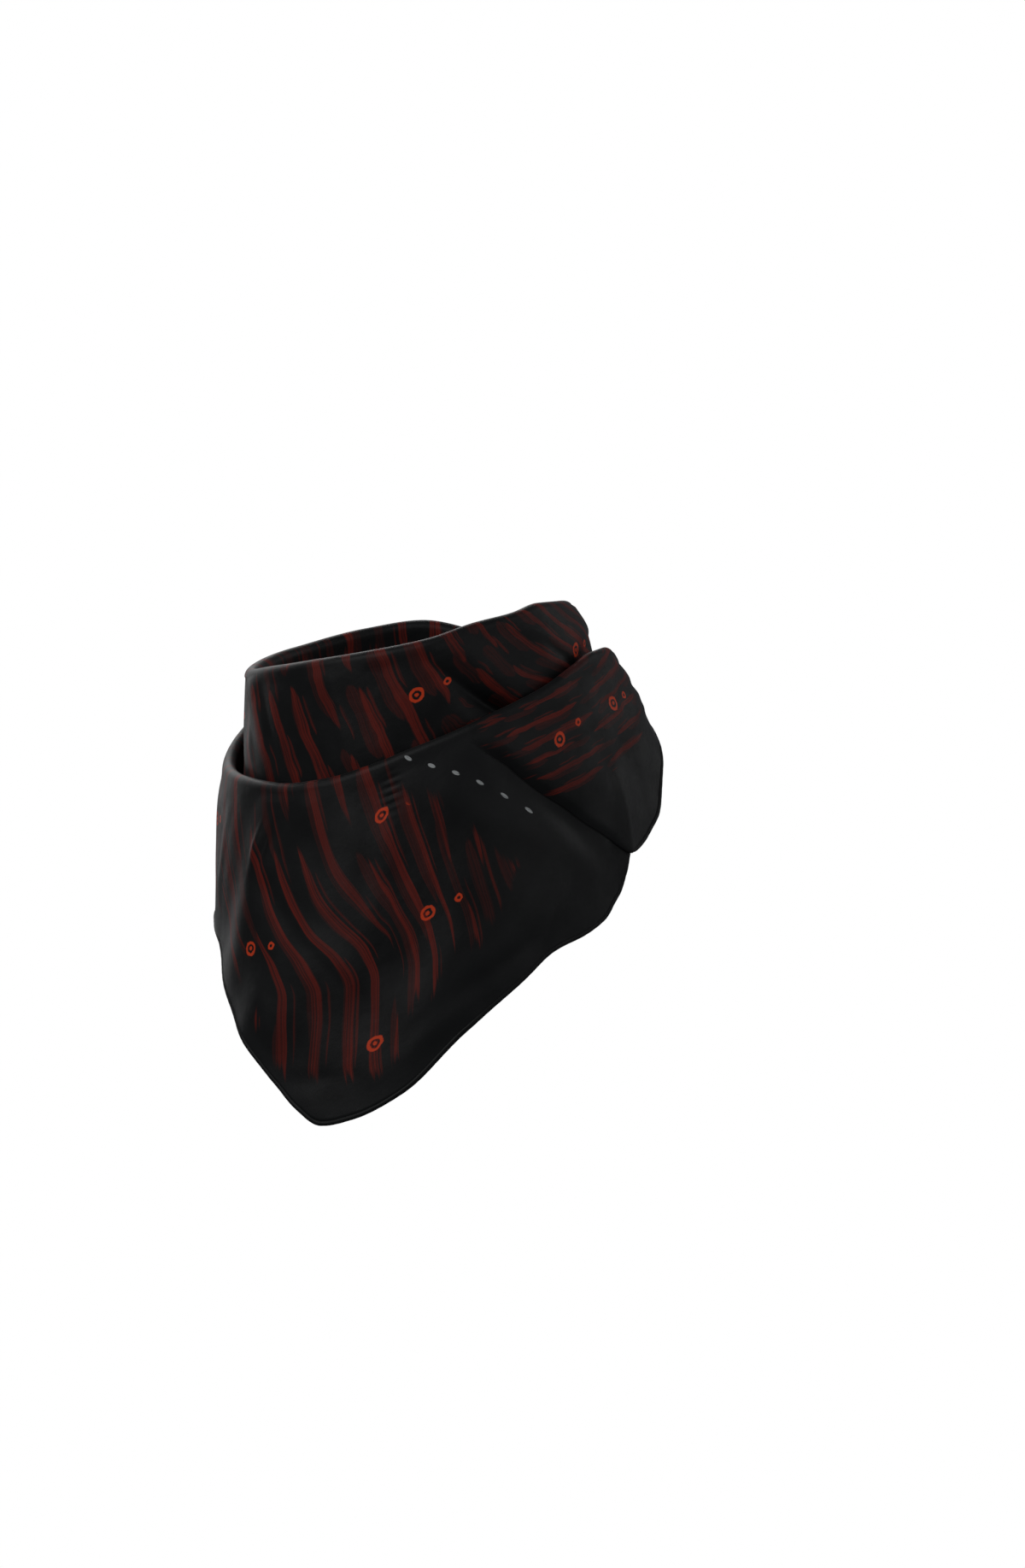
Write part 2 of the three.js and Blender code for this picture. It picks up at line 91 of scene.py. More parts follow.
# ---- Tables ----
@dataclass(frozen=True)
class Table:
    """A short table with named columns, which is read along its first one.

    Attributes:
        columns: the columns' names.
        rows: its values, in rising order of the first column.
    """

    columns: tuple[str, ...]
    rows: tuple[tuple[float, ...], ...]

    def column(self, name: str) -> np.ndarray:
        """Returns one column as an array."""
        return np.array([row[self.columns.index(name)] for row in self.rows], float)

    def read(self, name: str, at: np.ndarray) -> np.ndarray:
        """Reads a column between its rows, on a cubic that never overshoots them.

        Each tangent is the harmonic mean of the grades on its two sides, or zero where they
        differ in sign, and the ends take the grade beside them.

        Args:
            name: the column to read.
            at: places along the first column, clipped to its two ends.

        Returns:
            The column's values at those places.
        """
        x, y = self.column(self.columns[0]), self.column(name)
        at = np.clip(at, x[0], x[-1])
        grade = np.diff(y) / np.diff(x)
        before, after = grade[:-1], grade[1:]
        total = np.where(before * after > 0, before + after, 1.0)
        middle = np.where(before * after > 0, 2 * before * after / total, 0.0)
        tangent = np.concatenate((grade[:1], middle, grade[-1:]))
        k = np.clip(np.searchsorted(x, at) - 1, 0, len(x) - 2)
        span = x[k + 1] - x[k]
        t = (at - x[k]) / span
        s = 1 - t
        return (
            y[k] * (1 + 2 * t) * s * s
            + y[k + 1] * (1 + 2 * s) * t * t
            + tangent[k] * span * t * s * s
            - tangent[k + 1] * span * s * t * t
        )


CROWN = Table(("turn", "radius", "top", "flare"), (
    (-179.8, 57, 7.5, 10),
    (-170, 57, 11, 10),
    (-158, 57.5, 16, 9),
    (-142, 58.5, 18.5, 8),
    (-120, 60.5, 15.5, 6),
    (-90, 62, 10, 4),
    (-48, 62.8, 6, 2),
    (-16, 62.3, 10, 3),
    (1, 62.2, 13, 4),
    (20, 62, 16.6, 5),
    (43, 61.5, 21.6, 7),
    (60, 60.5, 26.9, 9),
    (76, 59.5, 29.7, 12),
    (89, 58.5, 32.3, 17),
    (106, 57, 31.8, 26),
    (128, 55.5, 30, 33),
    (146, 54.8, 25.5, 26),
    (160, 56, 17.5, 17),
    (170, 57, 11.5, 11),
    (179.8, 57, 7.5, 10),
))

LIP = Table(("turn", "radius", "top", "flare", "roll"), (
    (-167, 66, 5, 10, 1.3),
    (-150, 68.5, 8.5, 22, 1.5),
    (-130, 70, 8, 28, 1.7),
    (-110, 71, 1, 26, 1.8),
    (-90, 71, -9, 18, 1.8),
    (-70, 71, -20, 12, 1.9),
    (-48, 71, -28, 13, 2.0),
    (-24, 72.3, -30, 10, 2.5),
    (-5, 73, -30.5, 8, 2.9),
    (12, 73, -27.5, 8, 2.8),
    (26, 72.5, -22, 8, 2.4),
    (38, 72, -16, 9, 2.1),
    (49, 72, -10.7, 10, 2.0),
    (64, 72, -3, 11, 2.0),
    (80, 71.3, 4.2, 11, 1.9),
    (92, 71, 10.2, 12, 1.8),
    (103, 71, 14.3, 15, 1.8),
    (114, 71, 14.8, 22, 1.7),
    (124, 71, 12.5, 28, 1.7),
    (140, 70.3, 11, 27, 1.6),
    (155, 68, 8, 20, 1.4),
    (167, 66, 5, 10, 1.3),
))

FALL_HEM = Table(("turn", "radius", "height", "flare"), (
    (-103, 80, -58, 8),
    (-90, 78, -67, 6),
    (-70, 75, -78, 3),
    (-48, 73.6, -86, 1),
    (-34, 75.6, -91, 2),
    (-23, 80, -100.8, 5),
    (-13, 83.5, -110.8, 7),
    (-2.5, 87, -123, 9),
    (6.4, 90, -135, 10),
    (12.7, 92.5, -142.6, 10),
    (18, 94, -147, 10),
    (25.4, 94, -144.1, 10),
    (36, 93, -134.8, 9),
    (50, 90.5, -113.8, 9),
    (62, 88.5, -99.4, 8),
    (73, 87, -87.8, 8),
    (82.4, 86, -83.4, 8),
    (89.3, 86, -78.9, 8),
    (93.3, 86, -73.8, 8),
    (96.3, 86.3, -69.4, 8),
    (98.6, 87, -62.1, 8),
    (100, 87.2, -57.5, 8),
))

FALL_TUCK = Table(("turn", "height"), (
    (-103, -51),
    (-95, -43),
    (-85, -33),
    (-78, -29),
    (-72, -27.5),
    (54.2, -13.2),
    (58, -16.2),
    (64, -20),
    (68.3, -22.5),
    (73, -26),
    (80.4, -30.5),
    (86.8, -37),
    (94.5, -43.5),
    (100, -48.5),
))

LEFT_EDGE = Table(("turn", "radius", "height", "flare"), (
    (54.2, 75.1, -13.3, 14),
    (58, 77.1, -17, 14),
    (63.8, 78.9, -21.8, 14),
    (68.3, 79.9, -26.8, 14),
    (73.1, 81.2, -31.8, 14),
    (80.4, 82.6, -38, 14),
    (86.8, 84.3, -44.3, 14),
    (94.5, 86.6, -50.8, 14),
    (100.5, 88.6, -56.5, 15),
    (104.3, 88.8, -54.5, 18),
    (109, 89, -49.5, 20),
    (114, 90, -42.5, 23),
    (117, 89.8, -36, 26),
    (120.5, 89.5, -29, 28),
    (125, 88.2, -22.5, 29),
    (137, 83.8, -15.5, 27),
    (152, 77, -10, 18),
    (167, 69, -7, 10),
))

RIGHT_EDGE = Table(("turn", "radius", "height", "flare"), (
    (-167, 69, -7, 10),
    (-152, 76, -11, 18),
    (-138, 82, -19, 24),
    (-127, 85, -29, 24),
    (-118, 85.5, -40, 20),
    (-110, 84.5, -51, 15),
    (-104, 83.5, -58, 12),
    (-98, 82, -53, 12),
    (-90, 80, -44, 12),
    (-80, 77.5, -34.5, 12),
    (-72.4, 76, -30, 12),
))

# Soft folds and creases: centre, slant from level, half length, half width and height.
CREASE_COLUMNS = ("turn", "height", "slant", "length", "width", "rise")
FALL_FOLDS = Table(CREASE_COLUMNS, (
    (4, -104, 60, 42, 14, 3.2),
    (-24, -86, 75, 34, 9, -1.8),
    (34, -92, 68, 38, 11, -2.0),
    (62, -72, 50, 34, 12, 1.8),
    (-8, -52, 80, 22, 7, 1.2),
    (-56, -60, 82, 26, 8, -1.6),
    (79, -40, -43, 26, 5, -1.5),
    (-87, -42, 43, 18, 5, -1.2),
))
FALL_CREASES = Table(CREASE_COLUMNS, (
    (-8.7, -52, 74, 8, 1.4, 0.9),
    (-5.7, -52.5, 74, 8, 1.3, -0.9),
    (6, -78, -38, 26, 4.0, -0.9),
    (16, -86, -34, 24, 4.5, 0.8),
    (44, -112, 38, 22, 4.0, 0.7),
    (58, -92, 32, 18, 3.4, -0.6),
    (74, -74, 60, 12, 3.0, 0.6),
    (26, -60, 86, 20, 4.0, -0.5),
    (-30, -62, 78, 18, 3.0, 0.7),
    (-66, -58, 70, 18, 3.0, 0.8),
    (-84, -58, 50, 14, 2.6, -0.7),
    (14, -132, 12, 12, 3.0, -0.5),
))
BAND_FOLDS = Table(CREASE_COLUMNS, (
    (66, -5, -34, 14, 5.0, -2.2),
    (55, 4, -38, 18, 4.5, -0.9),
    (64, 10, -32, 24, 6.0, 1.1),
    (-40, -6, -52, 16, 5, -1.3),
    (-29, -2, -58, 18, 5.5, 0.9),
    (-110, 0, 40, 22, 4.0, -1.5),
    (-150, 8, 12, 26, 3.2, -1.5),
    (150, 10, -12, 26, 3.2, -1.5),
    (108, 12, 30, 22, 4.2, -1.2),
    (126, 21, 0, 22, 8, 2.2),
))
BAND_CREASES = Table(CREASE_COLUMNS, (
    (52, 7, -36, 15, 1.7, -0.8),
    (66, -3, -30, 9, 2.2, -1.2),
    (84, 22, -28, 16, 2.4, 0.6),
    (92, 16, -34, 15, 2.0, -0.6),
    (-18, -12, -66, 14, 2.4, -0.6),
    (-33, -16, -62, 12, 2.2, 0.6),
    (14, -8, -72, 16, 3.0, 0.45),
    (30, 2, -68, 15, 2.6, -0.4),
    (-64, -6, 60, 14, 2.4, -0.6),
    (-92, -2, 44, 16, 2.6, 0.7),
    (-132, 4, 24, 18, 2.2, -0.8),
    (132, 16, -20, 18, 2.4, -0.8),
    (166, 4, -8, 14, 2.0, -0.9),
    (-166, 3, 8, 14, 2.0, -0.9),
))
WING_FOLDS = Table(CREASE_COLUMNS, (
    (118, -6, 28, 30, 6, 1.5),
    (140, 2, -18, 26, 2.6, -1.6),
    (146, -6, -6, 26, 2.4, 1.2),
    (-112, -18, -30, 30, 6, 1.6),
    (-140, -1, 18, 26, 2.6, -1.6),
    (-146, -8, 8, 26, 2.4, 1.2),
))
WING_CREASES = Table(CREASE_COLUMNS, (
    (107, -2, 62, 12, 3.2, 0.4),
    (112, -8, 58, 11, 3.0, -0.35),
    (84, -14, 24, 22, 3.4, 0.5),
    (94, -34, 44, 16, 3.0, -0.5),
    (126, 0, 6, 20, 2.2, -0.8),
    (132, -8, -2, 18, 2.2, 0.8),
    (-86, -20, -30, 18, 3.0, 0.6),
    (-100, -36, -46, 16, 2.8, -0.6),
    (-126, -4, -4, 20, 2.2, -0.8),
    (-132, -12, 2, 18, 2.2, 0.8),
))
# Faint waves that cross all hanging cloth: direction from level, wave length, start and height.
RIPPLES = Table(("slant", "length", "start", "rise"), (
    (18, 47, 0.4, 0.34),
    (-52, 31, 2.1, 0.20),
    (71, 23, 4.4, 0.14),
    (-12, 17, 1.3, 0.09),
    (38, 12.5, 3.2, 0.05),
))

# How far the painted strokes of the fall drift to the wearer's left on their way down.
DRIFT = Table(("down", "left"), (
    (0, 0),
    (20, 8),
    (42, 20),
    (55, 30),
    (67, 41),
    (78, 46),
    (90, 46),
    (103, 46),
    (125, 52),
))
# Width of the plain border above the fall's hem.
BORDER = Table(("turn", "width"), (
    (-103, 20),
    (-70, 17),
    (-20, 13),
    (24, 13),
    (36, 19),
    (50, 31),
    (60, 28),
    (68, 34),
    (84, 40),
    (100, 40),
))
# Height under which the fall is painted, and the row of seeds above it.
PAINT_TOP = Table(("turn", "height"), (
    (-103, -50),
    (-90, -34),
    (-76, 0),
    (22, 0),
    (30, -18),
    (34, -29),
    (42, -35),
    (48, -38),
    (57, -45),
    (68, -50),
    (84, -66),
    (100, -86),
))
SEED_ROW = Table(("turn", "height"), (
    (30, -14.5),
    (35, -18),
    (53, -25.5),
    (70, -38.5),
    (78, -46),
))


# ---- The cloth's section, turned round the neck ----
def spread(first: float, last: float, steps: int) -> np.ndarray:
    """Returns evenly spaced values from one end to the other, both included."""
    return np.linspace(first, last, steps + 1)


def ease(value: np.ndarray, low: float, high: float) -> np.ndarray:
    """Returns 0 below low and 1 above high, with a smooth s-curve between them."""
    t = np.clip((value - low) / (high - low), 0, 1)
    return t * t * (3 - 2 * t)


def pair(radius: np.ndarray, height: np.ndarray) -> np.ndarray:
    """Returns section points, whose last axis holds the radius and the height."""
    return np.stack(np.broadcast_arrays(radius, height), axis=-1).astype(float)


def roll(centre: np.ndarray, radius: np.ndarray | float, first: np.ndarray | float,
         last: np.ndarray | float, steps: int) -> np.ndarray:
    """Points on a circular roll: centre plus radius times cosine and sine of the angle.

    Args:
        centre: one centre for each turn.
        radius: the roll's radius for each turn, or one for all.
        first: the angle at which it starts, in degrees; 0 looks outwards and 90 looks up.
        last: the angle at which it ends.
        steps: how many equal steps the roll takes.

    Returns:
        Section points, one row for each turn.
    """
    share = spread(0, 1, steps)[None, :]
    first, last, radius = (np.reshape(value, (-1, 1)) for value in (first, last, radius))
    angle = np.radians(first + (last - first) * share)
    return centre[:, None, :] + pair(radius * np.cos(angle), radius * np.sin(angle))


@dataclass(frozen=True)
class Hang:
    """Cloth that hangs from one section point to another, with a given flare at both.

    Attributes:
        start: the upper point, for each turn.
        start_flare: how far the cloth leans out there, in degrees.
        end: the lower point, for each turn.
        end_flare: how far the cloth leans out there, in degrees.
    """

    start: np.ndarray
    start_flare: np.ndarray
    end: np.ndarray
    end_flare: np.ndarray

    @property
    def length(self) -> np.ndarray:
        """Straight distance between the two ends, for each turn."""
        return np.linalg.norm(self.end - self.start, axis=-1)[:, None]

    def at(self, share: np.ndarray) -> np.ndarray:
        """Points on a cubic whose end tangents lean out by the flares and are as long as the span.

        Args:
            share: how far down, one row for each turn or one row for all.

        Returns:
            Section points, one row for each turn.
        """
        share = np.broadcast_to(share, (len(self.start), np.shape(share)[-1]))
        t, s = share[..., None], 1 - share[..., None]
        way = [
            (pair(np.sin(np.radians(flare)), -np.cos(np.radians(flare))) * self.length)[:, None, :]
            for flare in (self.start_flare, self.end_flare)
        ]
        return (
            self.start[:, None, :] * (1 + 2 * t) * s * s
            + self.end[:, None, :] * (1 + 2 * s) * t * t
            + way[0] * t * s * s
            - way[1] * s * t * t
        )

    def reach(self, height: np.ndarray) -> np.ndarray:
        """Finds where the cloth reaches some heights, by halving the span again and again.

        Args:
            height: heights, one row for each turn.

        Returns:
            How far down each height lies, as a share.
        """
        low, high = np.zeros_like(height), np.ones_like(height)
        for _ in range(HALVINGS):
            middle = (low + high) / 2
            above = self.at(middle)[..., 1] > height
            low, high = np.where(above, middle, low), np.where(above, high, middle)
        return low


def lip_section(turns: np.ndarray, riser_steps: int, roll_steps: int) -> np.ndarray:
    """The cloth from the dip up and over the lip.

    Args:
        turns: where round the neck.
        riser_steps: steps on the rise out of the dip.
        roll_steps: steps on the roll, which ends where the cloth hangs at the lip's flare.

    Returns:
        Section points, one row for each turn.
    """
    radius, top, flare, curl = (LIP.read(name, turns) for name in LIP.columns[1:])
    centre = pair(radius - curl, top - curl)
    rise = spread(0, 1, riser_steps)[None, :-1]
    foot = (top - DIP)[:, None]
    riser = pair((radius - 2 * curl)[:, None], foot + (centre[:, 1:] - foot) * rise)
    return np.concatenate((riser, roll(centre, curl, 180.0, flare, roll_steps)), axis=1)


def fall_hang(turns: np.ndarray) -> Hang:
    """The fall's hanging cloth, as if the lip ran on above all of it.

    Args:
        turns: where round the neck.

    Returns:
        The cloth from the end of the lip's roll to the middle of the hem.
    """
    radius, height, flare = (FALL_HEM.read(name, turns) for name in FALL_HEM.columns[1:])
    start = lip_section(turns, 1, 1)[:, -1]
    return Hang(start, LIP.read("flare", turns), pair(radius, height), flare)


def around(turns: np.ndarray, points: np.ndarray) -> np.ndarray:
    """Returns the distance round the neck of each section point, in millimetres."""
    return np.radians(turns)[:, None] * points[..., 0]


def swell(folds: Table, turns: np.ndarray, points: np.ndarray) -> np.ndarray:
    """Outward swell of soft folds: a bell curve, long along its slant and narrow across it.

    Args:
        folds: a table of centre, slant, half length, half width and rise.
        turns: where round the neck.
        points: section points, one row for each turn.

    Returns:
        How far each point moves outwards.
    """
    turn, height, slant, length, width, rise = (
        folds.column(name)[:, None, None] for name in CREASE_COLUMNS
    )
    across = np.radians(turns[None, :, None] - turn) * points[None, ..., 0]
    above = points[None, ..., 1] - height
    lean = np.radians(slant)
    along = (across * np.cos(lean) + above * np.sin(lean)) / length
    aside = (above * np.cos(lean) - across * np.sin(lean)) / width
    return (rise * np.exp(-along**2 - aside**2)).sum(axis=0)


def ripple(turns: np.ndarray, points: np.ndarray) -> np.ndarray:
    """Faint uneven waves: a sum of slanted sines that run on from piece to piece.

    Args:
        turns: where round the neck.
        points: section points, one row for each turn.

    Returns:
        How far each point moves outwards.
    """
    slant, length, start, rise = (
        RIPPLES.column(name)[:, None, None] for name in RIPPLES.columns
    )
    across, height = around(turns, points)[None], points[None, ..., 1]
    lean = np.radians(slant)
    way = across * np.cos(lean) + height * np.sin(lean)
    return (rise * np.sin(2 * np.pi * way / length + start)).sum(axis=0)


def fall_swell(turns: np.ndarray, points: np.ndarray, below_lip: np.ndarray) -> np.ndarray:
    """Outward swell of the fall: folds, and creases and wrinkles that fade in below the lip.

    Args:
        turns: where round the neck.
        points: section points, one row for each turn.
        below_lip: how much cloth lies between each point and the lip.

    Returns:
        How far each point moves outwards.
    """
    aside = around(turns, points) - math.radians(WRINKLE_TURN) * points[..., 0]
    stack = np.exp(-(aside / WRINKLE_REACH) ** 2 - ((below_lip - 11) / 6.5) ** 2)
    wrinkles = 0.4 * stack * np.sin(2 * np.pi * below_lip / WRINKLE_GAP)
    fine = swell(FALL_CREASES, turns, points) + ripple(turns, points) + wrinkles
    folds = swell(FALL_FOLDS, turns, points)
    return folds * ease(below_lip, 0, 4) + fine * ease(below_lip, 0, FADE_IN)


def pushed(points: np.ndarray, outwards: np.ndarray) -> np.ndarray:
    """Returns section points moved outwards."""
    return pair(points[..., 0] + outwards, points[..., 1])


def gone(points: np.ndarray) -> np.ndarray:
    """Returns the length of cloth above each section point, from the first one down."""
    steps = np.linalg.norm(np.diff(points, axis=1), axis=-1)
    return np.concatenate((np.zeros((len(points), 1)), np.cumsum(steps, axis=1)), axis=1)


def hung(lip: np.ndarray, points: np.ndarray) -> np.ndarray:
    """Returns the length of cloth from the end of the lip's roll to each point below it."""
    return gone(np.concatenate((lip[:, -1:], points), axis=1))[:, 1:]


def hem_rows(lip: np.ndarray, hang: Hang) -> tuple[np.ndarray, np.ndarray, np.ndarray]:
    """The middle of a rolled hem, and a row of cloth just above it.

    Args:
        lip: section points of the lip.
        hang: the cloth that hangs from it.

    Returns:
        Shares of the hang, section points and lengths of cloth below the lip; the second row of
        each is the hem's middle.
    """
    shares = 1 - np.array([HEM_REACH, HEM_ROLL]) / hang.length
    points = hang.at(shares)
    return shares, points, hung(lip, points)


def placed(turns: np.ndarray, points: np.ndarray) -> np.ndarray:
    """Turns section points to their place: radius times the turn's sine and minus its cosine.

    Args:
        turns: where round the neck.
        points: section points, one row for each turn.

    Returns:
        Places in millimetres.
    """
    angle = np.radians(turns)[:, None]
    radius, height = points[..., 0], points[..., 1]
    return np.stack((radius * np.sin(angle), -radius * np.cos(angle), height), axis=-1)


# ---- Meshes ----
@dataclass
class Surface:
    """A grid of cloth: its points and what the silk's finish reads at each of them.

    Attributes:
        points: the middle of the cloth, in millimetres; axis 0 goes round, axis 1 goes down.
        cloth: place on the flat cloth, in metres.
        stroke: count of strokes across, and metres along them.
        paint: how far inside the painted part, in metres; below zero is plain cloth.
        row: place along and across the row of seeds, in seeds and in millimetres.
        keep: which cells of the grid are cloth.
        depth: thickness of the cloth at each point, as a share of the full thickness.
    """

    points: np.ndarray
    cloth: np.ndarray
    stroke: np.ndarray
    paint: np.ndarray
    row: np.ndarray | None = None
    keep: np.ndarray | None = None
    depth: np.ndarray | None = None

    def normals(self) -> np.ndarray:
        """The cross product of the grid's two directions, brought to a length of one.

        Returns:
            Outward normals, one for each point.
        """
        down, side = np.gradient(self.points, axis=1), np.gradient(self.points, axis=0)
        normal = np.cross(down, side)
        return normal / np.maximum(np.linalg.norm(normal, axis=-1, keepdims=True), 1e-9)

    def mapped(self) -> dict[str, np.ndarray]:
        """Lists the coordinates that go into the mesh.

        Returns:
            Two coordinates for each point, by UV map.
        """
        maps = {"Cloth": self.cloth, "Stroke": self.stroke}
        if self.row is not None:
            maps["Row"] = self.row
        return {name: values.reshape(-1, 2) for name, values in maps.items()}


def make_mesh(name: str, points: np.ndarray, faces: list[np.ndarray],
              flat_faces: list[np.ndarray], maps: Mapping[str, np.ndarray],
              paint: np.ndarray | None = None) -> bpy.types.Object:
    """Puts arrays into a new mesh object at the origin.

    Args:
        name: the object's name.
        points: places in millimetres.
        faces: arrays of corner numbers whose faces are smooth; each array has one face size.
        flat_faces: the same for faces that meet the others at a sharp edge.
        maps: two coordinates for each point, by UV map.
        paint: one number for each point, stored as the attribute "paint".

    Returns:
        The new object.
    """
    mesh = bpy.data.meshes.new(name)
    groups = [group for group in (*faces, *flat_faces) if len(group)]
    corners = np.concatenate([group.ravel() for group in groups])
    sizes = np.concatenate([np.full(len(group), group.shape[1]) for group in groups])
    starts = np.concatenate(([0], np.cumsum(sizes)[:-1]))
    mesh.vertices.add(len(points))
    mesh.vertices.foreach_set("co", (points * MM).astype(np.float32).ravel())
    mesh.loops.add(len(corners))
    mesh.loops.foreach_set("vertex_index", corners.astype(np.int32))
    mesh.polygons.add(len(sizes))
    mesh.polygons.foreach_set("loop_start", starts.astype(np.int32))
    flat = sum(len(group) for group in flat_faces)
    smooth = np.arange(len(sizes)) < len(sizes) - flat
    mesh.update(calc_edges=True)
    mesh.polygons.foreach_set("use_smooth", smooth)
    for label, values in maps.items():
        layer = mesh.uv_layers.new(name=label)
        layer.data.foreach_set("uv", values[corners].astype(np.float32).ravel())
    if paint is not None:
        attribute = mesh.attributes.new("paint", "FLOAT", "POINT")
        attribute.data.foreach_set("value", paint.astype(np.float32))
    mesh.validate()
    made = bpy.data.objects.new(name, mesh)
    bpy.context.scene.collection.objects.link(made)
    return made


def cloth_wall(name: str, surface: Surface) -> bpy.types.Object:
    """A closed wall: the surface moved half the thickness out and in, closed at free edges.

    Args:
        name: the object's name.
        surface: the middle of the cloth.

    Returns:
        The new object.
    """
    across, down = surface.points.shape[:2]
    keep = np.ones((across - 1, down - 1), bool) if surface.keep is None else surface.keep
    depth = np.ones((across, down)) if surface.depth is None else surface.depth
    half = surface.normals() * (CLOTH / 2 * depth)[..., None]
    number = np.arange(across * down).reshape(across, down)
    corner = [number[:-1, :-1], number[:-1, 1:], number[1:, 1:], number[1:, :-1]]
    outer = np.stack([c[keep] for c in corner], axis=-1)
    around_it = np.pad(keep, 1)
    beside = [around_it[:-2, 1:-1], around_it[1:-1, 2:], around_it[2:, 1:-1], around_it[1:-1, :-2]]
    rims = []
    for k, neighbour in enumerate(beside):
        edge = keep & ~neighbour
        rims.append(np.stack((corner[k][edge], corner[(k + 1) % 4][edge]), axis=-1))
    rim = np.concatenate(rims)
    count = across * down
    used = np.unique(outer)
    place = np.full(count, -1)
    place[used] = np.arange(len(used))
    outer, rim = place[outer], place[rim]
    inner = outer[:, ::-1] + len(used)
    rim = np.stack((rim[:, 1], rim[:, 0], rim[:, 0] + len(used), rim[:, 1] + len(used)), axis=-1)
    middle, half = surface.points.reshape(-1, 3)[used], half.reshape(-1, 3)[used]
    maps = {key: np.tile(values[used], (2, 1)) for key, values in surface.mapped().items()}
    paint = np.tile(surface.paint.ravel()[used], 2)
    points = np.concatenate((middle + half, middle - half))
    return make_mesh(name, points, [outer, inner], [rim], maps, paint)


def tube(name: str, rings: np.ndarray, closed: bool, maps: Mapping[str, np.ndarray],
         paint: np.ndarray) -> bpy.types.Object:
    """A tube through rings of points, joined end to end or closed by a cap at both ends.

    Args:
        name: the object's name.
        rings: points in millimetres; axis 0 goes along the tube, axis 1 round it.
        closed: whether the last ring meets the first.
        maps: two coordinates for each point, by UV map.
        paint: how far inside the painted part each point lies.

    Returns:
        The new object.
    """
    count, sides = rings.shape[:2]
    number = np.arange(count * sides).reshape(count, sides)
    ahead = np.roll(number, -1, axis=0) if closed else number[1:]
    here = number if closed else number[:-1]
    faces = np.stack((here, np.roll(here, -1, 1), np.roll(ahead, -1, 1), ahead), axis=-1)
    caps = [] if closed else [number[:1, ::-1], number[-1:]]
    return make_mesh(name, rings.reshape(-1, 3), [faces.reshape(-1, 4)], caps, maps, paint)


# ---- Shader maths ----
@dataclass(frozen=True)
class Wire:
    """A socket of a material, with its arithmetic written as Python expressions.

    Attributes:
        shader: the node tree that it belongs to.
        socket: the output that it stands for.
    """

    shader: "Shader"
    socket: bpy.types.NodeSocket

    def math(self, operation: str, *values: "Wire | float") -> "Wire":
        """Returns the result of a Math node on some values."""
        inputs = dict(enumerate(values))
        return self.shader.wire("ShaderNodeMath", {"operation": operation}, inputs)

    def __add__(self, other: "Wire | float") -> "Wire":
        """Sum."""
        return self.math("ADD", self, other)

    __radd__ = __add__

    def __sub__(self, other: "Wire | float") -> "Wire":
        """Difference."""
        return self.math("SUBTRACT", self, other)

    def __rsub__(self, other: float) -> "Wire":
        """Difference from a number."""
        return self.math("SUBTRACT", other, self)

    def __mul__(self, other: "Wire | float") -> "Wire":
        """Product."""
        return self.math("MULTIPLY", self, other)

    __rmul__ = __mul__

    def __truediv__(self, other: "Wire | float") -> "Wire":
        """Quotient."""
        return self.math("DIVIDE", self, other)

    def __mod__(self, other: float) -> "Wire":
        """Remainder that is never negative."""
        return self.math("FLOORED_MODULO", self, other)

    def __abs__(self) -> "Wire":
        """Size without its sign."""
        return self.math("ABSOLUTE", self)

    def rounded(self) -> "Wire":
        """The nearest whole number."""
        return self.math("ROUND", self)

    def floored(self) -> "Wire":
        """The whole number below."""
        return self.math("FLOOR", self)

    def root(self) -> "Wire":
        """Square root."""
        return self.math("SQRT", self)

    def sine(self) -> "Wire":
        """Sine of an angle in radians."""
        return self.math("SINE", self)

    def most(self, other: "Wire | float") -> "Wire":
        """The larger of two."""
        return self.math("MAXIMUM", self, other)

    def ease(self, low: float, high: float, start: float = 0.0, end: float = 1.0) -> "Wire":
        """An s-curve between two values, level outside them.

        Args:
            low: the value where the curve starts; it may be the larger of the two.
            high: the value where it ends.
            start: the result at low.
            end: the result at high.

        Returns:
            The result of a smooth Map Range node.
        """
        names = ("Value", "From Min", "From Max", "To Min", "To Max")
        inputs = dict(zip(names, (self, low, high, start, end)))
        return self.shader.wire(
            "ShaderNodeMapRange", {"interpolation_type": "SMOOTHSTEP"}, inputs, "Result"
        )


